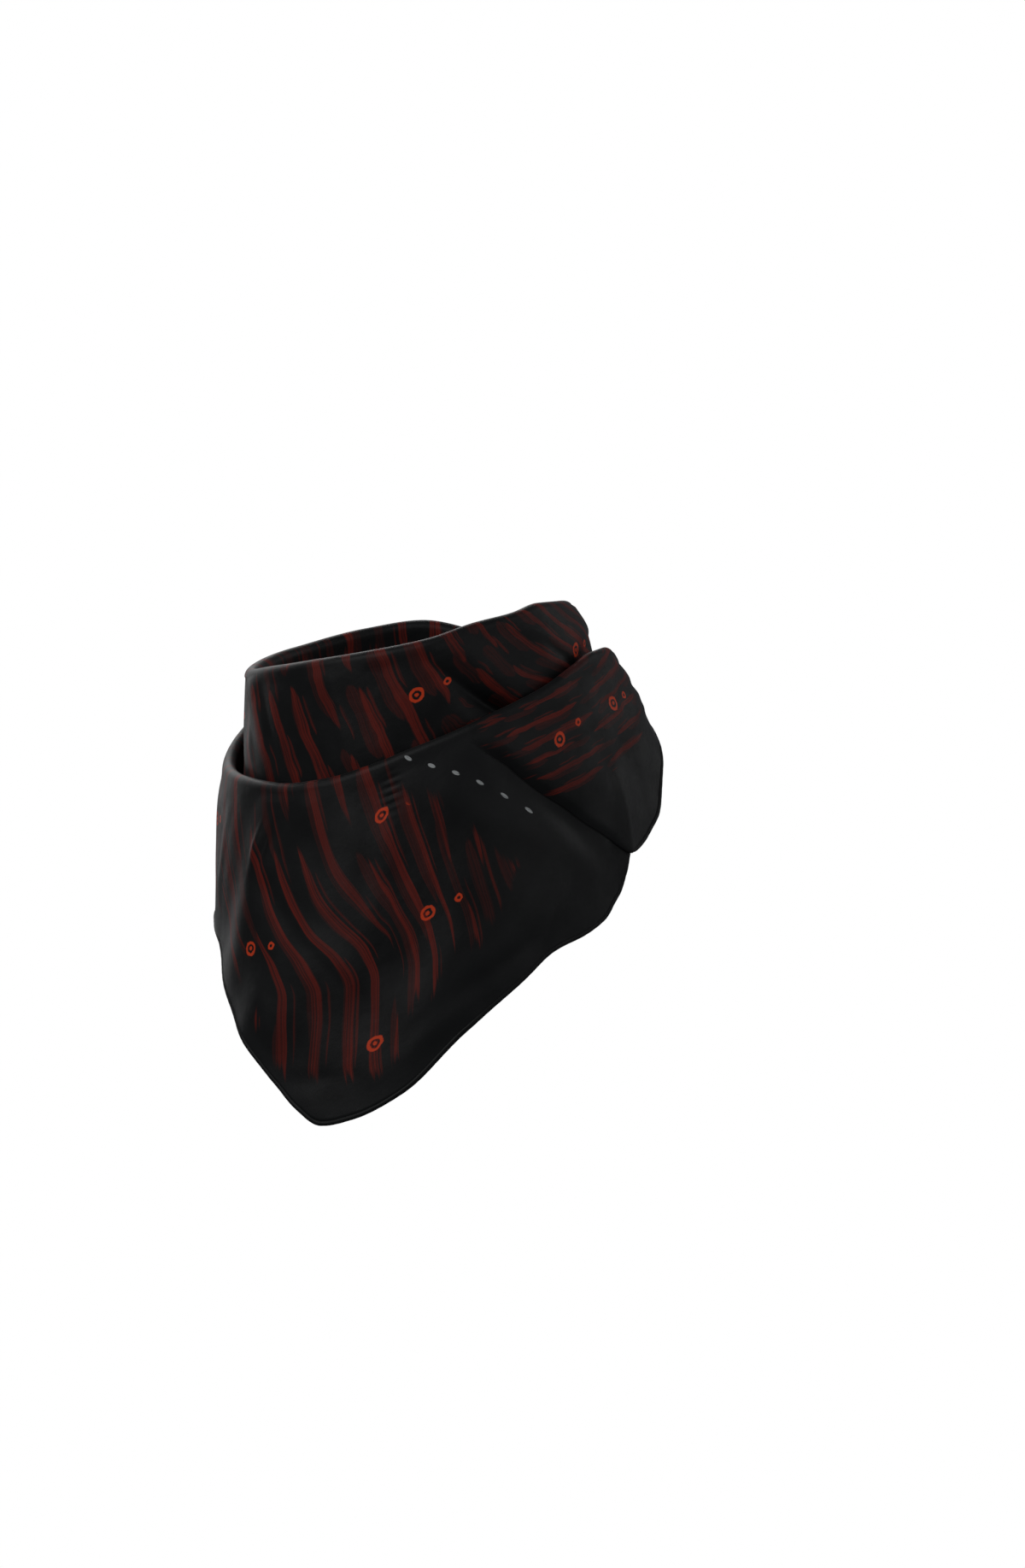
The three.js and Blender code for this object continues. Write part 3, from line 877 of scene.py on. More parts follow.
class Shader:
    """The node tree of a material or a world, in which one method makes every node."""

    def __init__(self, owner: bpy.types.Material | bpy.types.World) -> None:
        """Empties the owner's node tree.

        Args:
            owner: a new material or world.
        """
        owner.use_nodes = True
        self.owner = owner
        self.tree = owner.node_tree
        self.tree.nodes.clear()

    def node(self, kind: str, settings: Mapping[str, object] | None = None,
             inputs: Mapping[str | int, object] | None = None) -> bpy.types.Node:
        """Makes a node: its settings first, then the values or links of its sockets.

        Args:
            kind: the node's type.
            settings: its properties by name.
            inputs: its sockets by name or number, each a Wire or a plain value.

        Returns:
            The new node.
        """
        made = self.tree.nodes.new(kind)
        for name, value in (settings or {}).items():
            setattr(made, name, value)
        for name, value in (inputs or {}).items():
            if isinstance(value, Wire):
                self.tree.links.new(value.socket, made.inputs[name])
            else:
                made.inputs[name].default_value = value
        return made

    def wire(self, kind: str, settings: Mapping[str, object] | None = None,
             inputs: Mapping[str | int, object] | None = None, output: str | int = 0) -> Wire:
        """Makes a node and returns one of its outputs."""
        return Wire(self, self.node(kind, settings, inputs).outputs[output])

    def uv(self, name: str) -> tuple[Wire, Wire]:
        """Reads one of the piece's own UV maps.

        Args:
            name: the map's name.

        Returns:
            Its two coordinates.
        """
        vector = self.wire("ShaderNodeUVMap", {"uv_map": name})
        split = self.node("ShaderNodeSeparateXYZ", inputs={0: vector})
        return Wire(self, split.outputs["X"]), Wire(self, split.outputs["Y"])

    def point(self, x: Wire | float, y: Wire | float, z: Wire | float = 0.0) -> Wire:
        """Returns a vector of three values."""
        return self.wire("ShaderNodeCombineXYZ", inputs={"X": x, "Y": y, "Z": z})

    def noise(self, x: Wire | float, y: Wire | float, z: Wire | float = 0.0,
              detail: float = 2.0, roughness: float = 0.5) -> Wire:
        """Smooth noise whose grain is about one unit of x, y and z.

        Args:
            x: first coordinate.
            y: second coordinate.
            z: third coordinate, which sets one noise apart from another.
            detail: how many finer layers it has.
            roughness: how strong each finer layer is.

        Returns:
            A number from 0 to 1.
        """
        inputs = {
            "Vector": self.point(x, y, z), "Scale": 1.0, "Detail": detail,
            "Roughness": roughness,
        }
        return self.wire("ShaderNodeTexNoise", {"noise_dimensions": "3D"}, inputs)

    def chance(self, x: Wire | float, y: Wire | float = 0.0) -> Wire:
        """Returns a number from 0 to 1 that is the same all over a cell."""
        settings = {"noise_dimensions": "2D"}
        return self.wire("ShaderNodeTexWhiteNoise", settings, {"Vector": self.point(x, y)})

    def mix(self, share: Wire, first: object, second: object) -> Wire:
        """Returns a colour between two colours."""
        settings = {"data_type": "RGBA", "clamp_factor": True}
        return self.wire("ShaderNodeMix", settings, {0: share, 6: first, 7: second}, 2)


# ---- Finishes ----
def tone(red: float, green: float, blue: float) -> tuple[float, float, float, float]:
    """Works out a linear colour.

    Args:
        red: display value from 0 to 255.
        green: the same.
        blue: the same.

    Returns:
        The colour, with full opacity.
    """
    def linear(value: float) -> float:
        """Undoes the display curve of one channel."""
        share = value / 255
        return share / 12.92 if share <= 0.04045 else ((share + 0.055) / 1.055) ** 2.4
    return (linear(red), linear(green), linear(blue), 1.0)


class Paint(Enum):
    """What is printed on a stretch of the silk."""

    PLAIN = "plain"
    STROKES = "strokes"
    STROKES_AND_SEEDS = "strokes and seeds"


@dataclass(frozen=True)
class Brush:
    """One layer of brush marks: each line is broken into marks with tapered ends.

    Attributes:
        aside: how far the marks lie beside their line, as a share of the pitch.
        half: half their width, as a share of the pitch.
        length: distance from one mark to the next, in metres.
        filled: the share of that distance which a mark covers.
        strength: how much of the ground it hides.
    """

    aside: float
    half: float
    length: float
    filled: float
    strength: float


@dataclass(frozen=True)
class Silk:
    """Fine silk twill with brushed marks in the print: its colours, weave and gloss.

    Attributes:
        name: the material's name.
        paint: what is printed.
        brushes: the layers of brush marks, from the faintest to the strongest.
        ground: the silk's own colour, where it is darkest.
        ground_light: the same, where it is lightest.
        ink_dark: the strokes' colour, where it is darkest.
        ink_light: the same, where it is lightest.
        border: colour of the unpainted border.
        mark: colour of the ringed marks.
        seed: colour of the seeds.
        twill: distance from one rib of the twill to the next, in metres.
        twill_depth: height of a rib, in metres.
        crumple_depth: height of the fine crumple all over the silk, in metres.
        sway: how far a line of strokes sways, as a share of the pitch.
        fray: how far the painted part's edge is frayed, in metres.
        uneven_ends: how far the ends of the lines differ, in metres.
        mark_pitch: distance between places for a mark, across and down, in metres.
        ring: radius of a mark's ring, in metres.
        small_ring: radius of the small ring beside it.
        small_ring_at: that ring's place from the middle of the mark.
        roughness: of the silk, before the print changes it.
        gloss: strength of its reflections.
        sheen: strength of its soft glow at grazing angles.
        sheen_roughness: how wide that glow is.
        sheen_tint: the glow's colour.
    """

    name: str
    paint: Paint
    brushes: tuple[Brush, ...] = (
        Brush(-0.15, 0.20, 0.070, 0.85, 0.28),
        Brush(0.29, 0.055, 0.052, 0.70, 0.62),
        Brush(0.03, 0.158, 0.128, 0.985, 0.95),
    )
    ground: tuple[float, float, float, float] = tone(10, 11, 12)
    ground_light: tuple[float, float, float, float] = tone(17, 18, 19)
    ink_dark: tuple[float, float, float, float] = tone(60, 14, 10)
    ink_light: tuple[float, float, float, float] = tone(118, 31, 19)
    border: tuple[float, float, float, float] = tone(21, 22, 23)
    mark: tuple[float, float, float, float] = tone(214, 66, 26)
    seed: tuple[float, float, float, float] = tone(186, 190, 190)
    twill: float = 0.00042
    twill_depth: float = 0.000012
    crumple_depth: float = 0.00018
    sway: float = 0.36
    fray: float = 0.016
    uneven_ends: float = 0.014
    mark_pitch: tuple[float, float] = (0.034, 0.040)
    ring: float = 0.0021
    small_ring: float = 0.0010
    small_ring_at: tuple[float, float] = (0.0105, -0.0015)
    roughness: float = 0.50
    gloss: float = 0.22
    sheen: float = 0.05
    sheen_roughness: float = 0.35
    sheen_tint: tuple[float, float, float, float] = (0.85, 0.87, 0.90, 1.0)

    def painted(self, shader: Shader) -> Wire:
        """Returns how far inside the painted part a point lies, in metres."""
        return shader.wire("ShaderNodeAttribute", {"attribute_name": "paint"}, output="Fac")

    def strokes(self, shader: Shader) -> tuple[Wire, Wire]:
        """Brush strokes in lines that sway a little, with frayed sides and dry streaks.

        The count of lines is nudged by slow noise. In each layer the distance from the nearest
        line is compared with a width that tapers at both ends of every mark, and lengthwise
        bristle noise frays it.

        Args:
            shader: the material.

        Returns:
            How much ink shows, and how light it is.
        """
        count, along = shader.uv("Stroke")
        paint = self.painted(shader)
        nudged = count + (shader.noise(count * 0.9, along * 30.0, 3.1) - 0.5) * self.sway
        bristle = shader.noise(nudged * 19.0, along * 36.0, 0.0, detail=3.0, roughness=0.62) - 0.5
        shown = None
        for number, brush in enumerate(self.brushes):
            layer = self.layer(shader, brush, nudged, along, bristle, 3.0 * number)
            shown = layer if shown is None else shown.most(layer)
        fray = (shader.noise(nudged * 6.0, along * 9.0, 5.0) - 0.5) * self.fray
        reach = paint + fray + (shader.chance(nudged.rounded()) - 0.5) * self.uneven_ends
        dry = shader.noise(nudged * 34.0, along * 15.0, 9.4, detail=2.0)
        slow = shader.noise(nudged * 0.8, along * 22.0, 6.6)
        light = dry.ease(0.30, 0.70) * 0.55 + slow.ease(0.3, 0.7) * 0.45
        worn = 1.0 - dry.ease(0.50, 0.34) * 0.5
        return shown * worn * reach.ease(-0.0015, 0.0030), light

    def layer(self, shader: Shader, brush: Brush, count: Wire, along: Wire, bristle: Wire,
              seed: float) -> Wire:
        """One layer of brush marks.

        Ink shows where half a mark's width, which tapers at both of its ends, is more than the
        distance from the middle of the line.

        Args:
            shader: the material.
            brush: the layer.
            count: count of lines across, already nudged.
            along: metres along them.
            bristle: lengthwise noise about zero.
            seed: a number that sets the layer apart from the others.

        Returns:
            How much ink the layer leaves.
        """
        line = (count - brush.aside).rounded()
        off = count - brush.aside - line
        beat = along / brush.length + shader.chance(line, seed + 0.5) * 9.0
        mark = beat.floored()
        phase = beat - mark
        luck = shader.chance(line + seed, mark)
        stop = luck * 0.2 + (brush.filled - 0.2)
        taper = phase.ease(0.0, 0.14) * (stop - phase).ease(0.0, 0.20)
        width = (luck * 0.45 + 0.75) * taper.root() * brush.half
        edge = width - abs(off + (luck - 0.5) * 0.14) + bristle * (0.32 * brush.half + 0.05)
        return edge.ease(-0.015, 0.045) * taper.ease(0.0, 0.2) * brush.strength

    def marks(self, shader: Shader) -> Wire:
        """Small rings with a dot, in a half-drop layout of which about half the places are filled.

        Each place has a ring round a dot and a small ring beside it. A ring shows where the
        distance from its middle is close to its radius.

        Args:
            shader: the material.

        Returns:
            How much of the mark's colour shows.
        """
        side, down = shader.uv("Cloth")
        wide, high = self.mark_pitch
        row = (down / high).floored()
        column = side / wide + (row % 2.0) * 0.5 + 0.27
        cell = column.floored()
        x = (column - cell - 0.5) * wide
        y = (down / high - row - 0.5) * high
        wobble = (shader.noise(side * 700.0, down * 700.0) - 0.5) * 0.0009
        far = (x * x + y * y).root() + wobble
        ring = abs(far - self.ring).ease(0.00070, 0.00032)
        dot = far.ease(0.0009, 0.0005)
        near_x, near_y = x - self.small_ring_at[0], y - self.small_ring_at[1]
        small = abs((near_x * near_x + near_y * near_y).root() + wobble - self.small_ring)
        chosen = shader.chance(cell + 11.0, row + 5.0).ease(0.46, 0.47)
        inside = self.painted(shader).ease(0.002, 0.004)
        return ring.most(dot).most(small.ease(0.00055, 0.0003)) * chosen * inside

    def seeds(self, shader: Shader) -> Wire:
        """A row of small off-white seeds: one oval at each whole step along it.

        Args:
            shader: the material.

        Returns:
            How much of the seeds' colour shows.
        """
        along, across = shader.uv("Row")
        off = (along - along.rounded()) * 5.6
        far = (off * off + across * across * 1.5).root()
        return far.ease(1.0, 0.7) * shader.noise(along * 3.0, across * 1.5).ease(0.25, 0.5)

    def build(self) -> bpy.types.Material:
        """Makes the material: ground, border, ink, marks and seeds, over a twill and a crumple.

        The twill's height is a sine across its diagonal and a weaker one across the other way.

        Returns:
            The finished material.
        """
        shader = Shader(bpy.data.materials.new(self.name))
        side, down = shader.uv("Cloth")
        mottle = shader.noise(side * 90.0, down * 90.0, detail=4.0)
        colour = shader.mix(mottle.ease(0.3, 0.75), self.ground, self.ground_light)
        rough = self.roughness + (mottle - 0.5) * 0.10
        if self.paint is not Paint.PLAIN:
            colour = shader.mix(self.painted(shader).ease(-0.001, -0.009), colour, self.border)
            ink, light = self.strokes(shader)
            inked = shader.mix(light, self.ink_dark, self.ink_light)
            colour = shader.mix(ink, colour, inked)
            colour = shader.mix(self.marks(shader), colour, self.mark)
            rough = rough + ink * 0.05
        if self.paint is Paint.STROKES_AND_SEEDS:
            colour = shader.mix(self.seeds(shader) * 0.85, colour, self.seed)
        diagonal = (side + down) * (2 * math.pi / self.twill)
        crossing = (side - down * 0.4) * (2 * math.pi / self.twill)
        weave = diagonal.sine() * 0.7 + crossing.sine() * 0.3
        crumple = shader.noise(side * 160.0, down * 160.0, detail=3.0)
        fine = shader.wire("ShaderNodeBump", inputs={
            "Strength": 1.0, "Distance": self.twill_depth, "Height": weave}, output="Normal")
        normal = shader.wire("ShaderNodeBump", inputs={
            "Strength": 1.0, "Distance": self.crumple_depth, "Height": crumple,
            "Normal": fine}, output="Normal")
        surface = shader.wire("ShaderNodeBsdfPrincipled", inputs={
            "Base Color": colour, "Roughness": rough, "Normal": normal,
            "Specular IOR Level": self.gloss, "Sheen Weight": self.sheen,
            "Sheen Roughness": self.sheen_roughness, "Sheen Tint": self.sheen_tint,
        }, output="BSDF")
        shader.node("ShaderNodeOutputMaterial", inputs={"Surface": surface})
        return shader.owner


# ---- The scarf's pieces ----
@dataclass(frozen=True)
class Cut:
    """The flat size of a stretch before it was worn, in metres and square metres.

    Attributes:
        width: across the stretch.
        length: down it.
        area: of what shows, which is less than a full rectangle where it tapers.
        held: how the cloth is held.
    """

    width: float
    length: float
    area: float
    held: str


class Side(Enum):
    """The wearer's side; its value is the sign of the turn."""

    LEFT = 1
    RIGHT = -1

    def names(self, part: str) -> tuple[str, str]:
        """Returns the names of this side's piece and of the solid that it stands for."""
        return f"{self.name.title()}_{part}", f"{self.name}_{part}".lower()


def dress(piece: bpy.types.Object, nodes: tuple[str, ...],
          material: bpy.types.Material) -> bpy.types.Object:
    """Gives a piece its finish and its place in the frame.

    Args:
        piece: the finished object.
        nodes: the solids that it stands for.
        material: its finish.

    Returns:
        The same object.
    """
    piece.data.materials.append(material)
    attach(piece, BODY)
    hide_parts(*nodes)
    log.info("%s: %d faces, stands for %s", piece.name, len(piece.data.polygons), ", ".join(nodes))
    return piece


@dataclass
class NeckBand:
    """The folded edge that stands round the neck, from its facing to the foot of its dip.

    Attributes:
        cut: its flat size.
        steps: cells round the neck.
        pitch: distance between lines of strokes.
        mean_radius: the radius on which the print is laid out.
    """

    cut: Cut = Cut(0.395, 0.078, 0.0245, "folded")
    steps: int = 520
    pitch: float = 12.6
    mean_radius: float = 61.0

    def section(self, turns: np.ndarray) -> tuple[np.ndarray, int]:
        """The facing inside, the crown's roll, the outer face and the dip.

        The facing drops straight down and leans out with the crown's flare. The face hangs on a
        cubic from the crown to the foot. Its folds move it outwards everywhere, and its creases
        and ripples die out towards both ends.

        Args:
            turns: where round the neck.

        Returns:
            Section points, and the number of the point at the top of the crown.
        """
        radius, top, flare = (CROWN.read(name, turns) for name in CROWN.columns[1:])
        centre = pair(radius - CROWN_ROLL, top - CROWN_ROLL)
        lip_radius, lip_top, lip_roll = (LIP.read(name, turns) for name in ("radius", "top", "roll"))
        foot_radius = lip_radius - 2 * lip_roll - 2 * DIP_ROLL
        foot = pair(foot_radius, lip_top - DIP)
        depth = FACING * (1 + 0.05 * np.sin(np.radians(turns) * 5))[:, None] * spread(1, 0, 10)[:-1]
        lean = np.tan(np.radians(flare))[:, None] * FACING_FLARE
        facing = pair(centre[:, :1] - CROWN_ROLL + depth * lean, centre[:, 1:] - depth)
        crown = roll(centre, CROWN_ROLL, 180.0, flare, 14)
        face = Hang(crown[:, -1], flare, foot, np.zeros_like(flare)).at(spread(0, 1, 34)[1:-1])
        below = gone(np.concatenate((crown[:, -1:], face), axis=1))[:, 1:]
        above = gone(np.concatenate((foot[:, None], face[:, ::-1]), axis=1))[:, :0:-1]
        calm = ease(below, 0, 5) * ease(above, 0, 5)
        moved = swell(BAND_CREASES, turns, face) + ripple(turns, face) * 0.8
        face = pushed(face, swell(BAND_FOLDS, turns, face) + moved * calm)
        dip = roll(pair(foot_radius + DIP_ROLL, lip_top - DIP), DIP_ROLL, 180.0, 360.0, 8)
        crest = facing.shape[1] + 7
        return np.concatenate((facing, crown, face, dip), axis=1), crest

    def build(self, material: bpy.types.Material) -> bpy.types.Object:
        """Makes the band; its strokes lean more and more towards the wearer's left.

        The count of lines is the distance round the neck less the lean times the depth, over the
        pitch.

        Args:
            material: its finish.

        Returns:
            The finished band.
        """
        turns = spread(-180, 180, self.steps)
        points, crest = self.section(turns)
        length = gone(points)
        down = length - length[:, crest:crest + 1]
        side = np.radians(turns)[:, None] * self.mean_radius
        lean = 0.44 + 0.5 * ease(turns, 45, 75) + 0.9 * ease(turns, 70, 110)
        lean = (lean * ease(turns, -150, -60) * ease(-turns, -170, -120))[:, None]
        count = (side - lean * (down - 14)) / self.pitch + 0.31
        stretch = (2.0 + 2.0 * ease(turns, 40, 80))[:, None]
        surface = Surface(
            placed(turns, points), pair(side, down) * MM, pair(count, down * stretch * MM),
            np.full(down.shape, 0.02),
        )
        return dress(cloth_wall("Neck_Band", surface), ("neck_band",), material)


@dataclass
class Fall:
    """The square corner that falls over the chest, from the dip over the lip to its hem.

    Attributes:
        cut: its flat size.
        pitch: distance between lines of strokes.
        stretch: how short the strokes are, against their brush's own length.
        mean_radius: the radius on which the print is laid out.
        seed_gap: distance between seeds.
        seed_start: the turn from which they are counted.
        seed_span: the turns between which they lie.
        lip_rows: steps on the rise out of the dip and on the lip's roll.
        upper_rows: steps from the lip to where the cloth may be tucked under a wing.
        lower_rows: steps from there to the hem.
        turns: where round the neck its columns stand.
    """

    cut: Cut = Cut(0.330, 0.150, 0.0231, "draped")
    pitch: float = 11.6
    stretch: float = 0.8
    mean_radius: float = 80.0
    seed_gap: float = 9.0
    seed_start: float = 37.0
    seed_span: tuple[float, float] = (35.5, 71.0)
    lip_rows: tuple[int, int] = (5, 12)
    upper_rows: int = 12
    lower_rows: int = 92
    turns: np.ndarray = field(init=False)

    def __post_init__(self) -> None:
        """Settles the turns: the lip runs only between the two pleats."""
        self.turns = np.concatenate((
            spread(-103, RIGHT_SEAM_TURN, 44), [RIGHT_SEAM_TURN + SEAM_LAP],
            spread(RIGHT_SEAM_TURN, SEAM_TURN, 190)[1:-1], [SEAM_TURN - SEAM_LAP],
            spread(SEAM_TURN, 100.2, 76),
        ))

    def build(self, material: bpy.types.Material) -> bpy.types.Object:
        """Makes the fall, with its painted strokes, plain border and row of seeds.

        The cells above the tuck are left out beneath the two wings. The count of lines is the
        distance round the neck less the strokes' drift at that depth, over the pitch; the drift
        weakens towards the left. The paint ends at the border or at its own top, whichever is
        nearer.

        Args:
            material: its finish.

        Returns:
            The finished fall.
        """
        turns, hang = self.turns, fall_hang(self.turns)
        lip = lip_section(turns, *self.lip_rows)
        lip_end = LIP.read("top", turns) - LIP_DROP
        tuck = hang.reach(np.minimum(FALL_TUCK.read("height", turns), lip_end)[:, None])
        end = 1 - (2 * HEM_ROLL - HEM_BITE) / hang.length
        upper = tuck * spread(0, 1, self.upper_rows)[None, 1:-1]
        lower = tuck + (end - tuck) * spread(0, 1, self.lower_rows)[None, :] ** 1.3
        share = np.concatenate((upper, lower), axis=1)
        flank = hang.at(share)
        flank = pushed(flank, fall_swell(turns, flank, hung(lip, flank)))
        points = np.concatenate((lip, flank), axis=1)
        lip_count = lip.shape[1]
        length = gone(points)
        down = length - length[:, lip_count - LIP_CREST, None]
        keep = np.ones((len(turns) - 1, points.shape[1] - 1), bool)
        middle = (turns[:-1] + turns[1:]) / 2
        beyond = (middle < RIGHT_SEAM_TURN) | (middle > SEAM_TURN)
        keep[beyond, :lip_count + self.upper_rows - 1] = False
        side = np.radians(turns)[:, None] * self.mean_radius
        hold = 1 - 0.72 * ease(turns, 22, 62)[:, None]
        count = (side - DRIFT.read("left", down) * hold) / self.pitch + 0.1
        to_hem = length[:, -1:] - length - BORDER.read("width", turns)[:, None]
        below_top = PAINT_TOP.read("height", turns)[:, None] - points[..., 1]
        paint = np.minimum(to_hem, below_top) * MM
        along = np.radians(turns - self.seed_start)[:, None] * self.mean_radius / self.seed_gap
        outside = ((turns < self.seed_span[0]) | (turns > self.seed_span[1]))[:, None]
        across = points[..., 1] - SEED_ROW.read("height", turns)[:, None] + NOWHERE * outside
        surface = Surface(
            placed(turns, points), pair(side, down) * MM,
            pair(count, down * self.stretch * MM), paint, row=pair(along, across), keep=keep,
        )
        return dress(cloth_wall("Front_Fall", surface), ("front_fall",), material)

    def hem_line(self) -> tuple[np.ndarray, np.ndarray]:
        """Finds where the hem runs.

        Returns:
            The line of the hem's middle and, at each point, a point of the cloth just above it.
        """
        turns = self.turns
        _, points, below = hem_rows(lip_section(turns, *self.lip_rows), fall_hang(turns))
        points = placed(turns, pushed(points, fall_swell(turns, points, below)))
        return points[:, 1], points[:, 0]


@dataclass
class Wing:
    """A wing over the shoulder: its lip, its pleat over the fall, and its edge to the knot.

    Attributes:
        side: the wearer's side.
        cut: its flat size.
        rows: steps from the lip to the lower edge.
        lip_rows: steps on the rise out of the dip and on the lip's roll.
        pitch: distance between lines of strokes.
        stretch: how short the strokes are, against their brush's own length.
        lean: how steeply the strokes climb towards the knot.
        mean_radius: the radius on which the print is laid out.
        plain: width of the unpainted border beside the pleat's edge and beside the hem.
        edge_taper: width over which the pleat's edge thins out.
        edge_thinned: how much of its thickness it loses.
    """

    side: Side
    cut: Cut
    rows: int = 76
    lip_rows: tuple[int, int] = (5, 12)
    pitch: float = 6.2
    stretch: float = 3.0
    lean: float = 0.30
    mean_radius: float = 78.0
    plain: tuple[float, float] = (3.0, 24.0)
    edge_taper: float = 1.6
    edge_thinned: float = 0.75

    @property
    def edge(self) -> Table:
        """The table of the wing's lower edge."""
        return LEFT_EDGE if self.side is Side.LEFT else RIGHT_EDGE

    @property
    def turns(self) -> np.ndarray:
        """The wing's turns, in rising order; the cells beside the seam are narrow."""
        away = np.concatenate((
            [self.seam - SEAM_LAP], spread(self.seam, self.corner, 82)[:-1],
            spread(self.corner, WING_END, 112),
        ))
        return away if self.side is Side.LEFT else -away[::-1]

    def pleated(self, turns: np.ndarray) -> np.ndarray:
        """Returns 1 where the lower edge is a pleat over the fall and 0 where it is hemmed."""
        return ease(-np.abs(turns), -self.corner - 0.8, -self.corner + 1.2)

    def hang(self, turns: np.ndarray) -> Hang:
        """The wing's hanging cloth, before it is swelled and creased.

        Args:
            turns: where round the neck.

        Returns:
            The cloth from the end of the lip's roll to its lower edge.
        """
        lip = lip_section(turns, *self.lip_rows)
        radius, height, flare = (self.edge.read(name, turns) for name in self.edge.columns[1:])
        return Hang(lip[:, -1], LIP.read("flare", turns), pair(radius, height), flare)

    @property
    def seam(self) -> float:
        """How far round from the front the wing starts, without the turn's sign."""
        return SEAM_TURN if self.side is Side.LEFT else -RIGHT_SEAM_TURN

    @property
    def corner(self) -> float:
        """How far round from the front the pleat ends and the hem starts."""
        return LEFT_PLEAT_END if self.side is Side.LEFT else -RIGHT_PLEAT_START

    def away(self, turns: np.ndarray) -> np.ndarray:
        """Returns 0 where the wing leaves the fall's surface and 1 where it lies free of it."""
        return ease(np.abs(turns), self.seam, self.seam + SEAM_BLEND)[:, None]

    def moved(self, turns: np.ndarray, points: np.ndarray, below_lip: np.ndarray,
              share: np.ndarray) -> np.ndarray:
        """Swells and creases the wing, gathers it towards the knot and lets it leave the fall.

        The skin is the fall's own surface at the same height, a little raised. The wing's own
        place is its hanging cloth with folds, creases, ripples and sines down its width that grow
        towards the knot. The result goes from the skin to the wing's own place as it comes free,
        but for the pleat's edge, which is held on the skin up to the corner.

        Args:
            turns: where round the neck.
            points: section points of the hanging cloth.
            below_lip: how much cloth lies between each point and the lip.
            share: how far down from the lip to the lower edge.

        Returns:
            The moved section points.
        """
        beneath, height = fall_hang(turns), points[..., 1]
        skin = pair(beneath.at(beneath.reach(height))[..., 0], height)
        rest = PLEAT_REST * self.away(turns) * ease(share, 0, 0.5)
        skin = pushed(skin, fall_swell(turns, skin, below_lip) + rest)
        past = np.abs(turns)[:, None] - self.corner
        held = ease(-past, -10, 0) * ease(share, 0.3, 1)
        free = self.away(turns) * (1 - held)
        pull = ease(np.abs(turns), 122, 165)[:, None]
        gather = np.sin(2 * np.pi * (3.4 * share + 0.35 * pull)) * (0.6 + 0.4 * np.sin(9 * share))
        fine = swell(WING_CREASES, turns, points) + ripple(turns, points) + 0.85 * pull * gather
        folds = swell(WING_FOLDS, turns, points)
        own = pushed(points, folds + fine * ease(below_lip, 0, FADE_IN))
        return skin + (own - skin) * free[..., None]

    def build(self, material: bpy.types.Material) -> bpy.types.Object:
        """Makes the wing; its strokes climb beside the lip.

        The pleat's edge curls inwards over its last few millimetres and thins out. The count of
        lines is the height less the lean times the distance round the neck, over the pitch.

        Args:
            material: its finish.

        Returns:
            The finished wing.
        """
        turns = self.turns
        lip, hang, pleat = lip_section(turns, *self.lip_rows), self.hang(turns), self.pleated(turns)
        end = 1 - (1 - pleat)[:, None] * (2 * HEM_ROLL - HEM_BITE) / hang.length
        share = end * spread(0, 1, self.rows)[None, 1:]
        flank = hang.at(share)
        below = hung(lip, flank)
        flank = self.moved(turns, flank, below, share)
        left = below[:, -1:] - below
        soft = np.minimum(PLEAT_SOFT, below[:, -1:] * 0.6)
        curl = pleat[:, None] * PLEAT_CURL * ease(1 - left / soft, 0, 1) ** 1.5
        near_corner = ease(np.abs(turns), self.corner - 6, self.corner - 1)[:, None]
        flank = pushed(flank, -curl * self.away(turns) * (1 - near_corner))
        points = np.concatenate((lip, flank), axis=1)
        lip_count = lip.shape[1]
        length = gone(points)
        down = length - length[:, lip_count - LIP_CREST, None]
        side = np.radians(turns)[:, None] * self.mean_radius
        climb = self.side.value * side
        count = (points[..., 1] - self.lean * climb) / self.pitch + 0.2
        near_hem = ease(np.abs(turns), 78, 98)[:, None]
        border = self.plain[0] + (self.plain[1] - self.plain[0]) * near_hem
        paint = (length[:, -1:] - length - border) * MM
        from_seam = climb - math.radians(self.seam) * self.mean_radius
        paint = np.minimum(paint, (from_seam - 4) * MM)
        edge = ease(1 - (length[:, -1:] - length) / self.edge_taper, 0, 1)
        depth = 1 - pleat[:, None] * self.edge_thinned * edge * self.away(turns)
        surface = Surface(
            placed(turns, points), pair(side, down) * MM,
            pair(count, climb * self.stretch * MM), paint, depth=depth,
        )
        name, node = self.side.names("Wing")
        return dress(cloth_wall(name, surface), (node,), material)

    def hem_line(self) -> tuple[np.ndarray, np.ndarray]:
        """Finds where the hem runs.

        Returns:
            The line of the hem's middle and, at each point, a point of the cloth just above it.
        """
        turns = self.turns[np.abs(self.turns) > self.corner - 1.0]
        shares, points, below = hem_rows(lip_section(turns, *self.lip_rows), self.hang(turns))
        points = placed(turns, self.moved(turns, points, below, shares))
        return points[:, 1], points[:, 0]


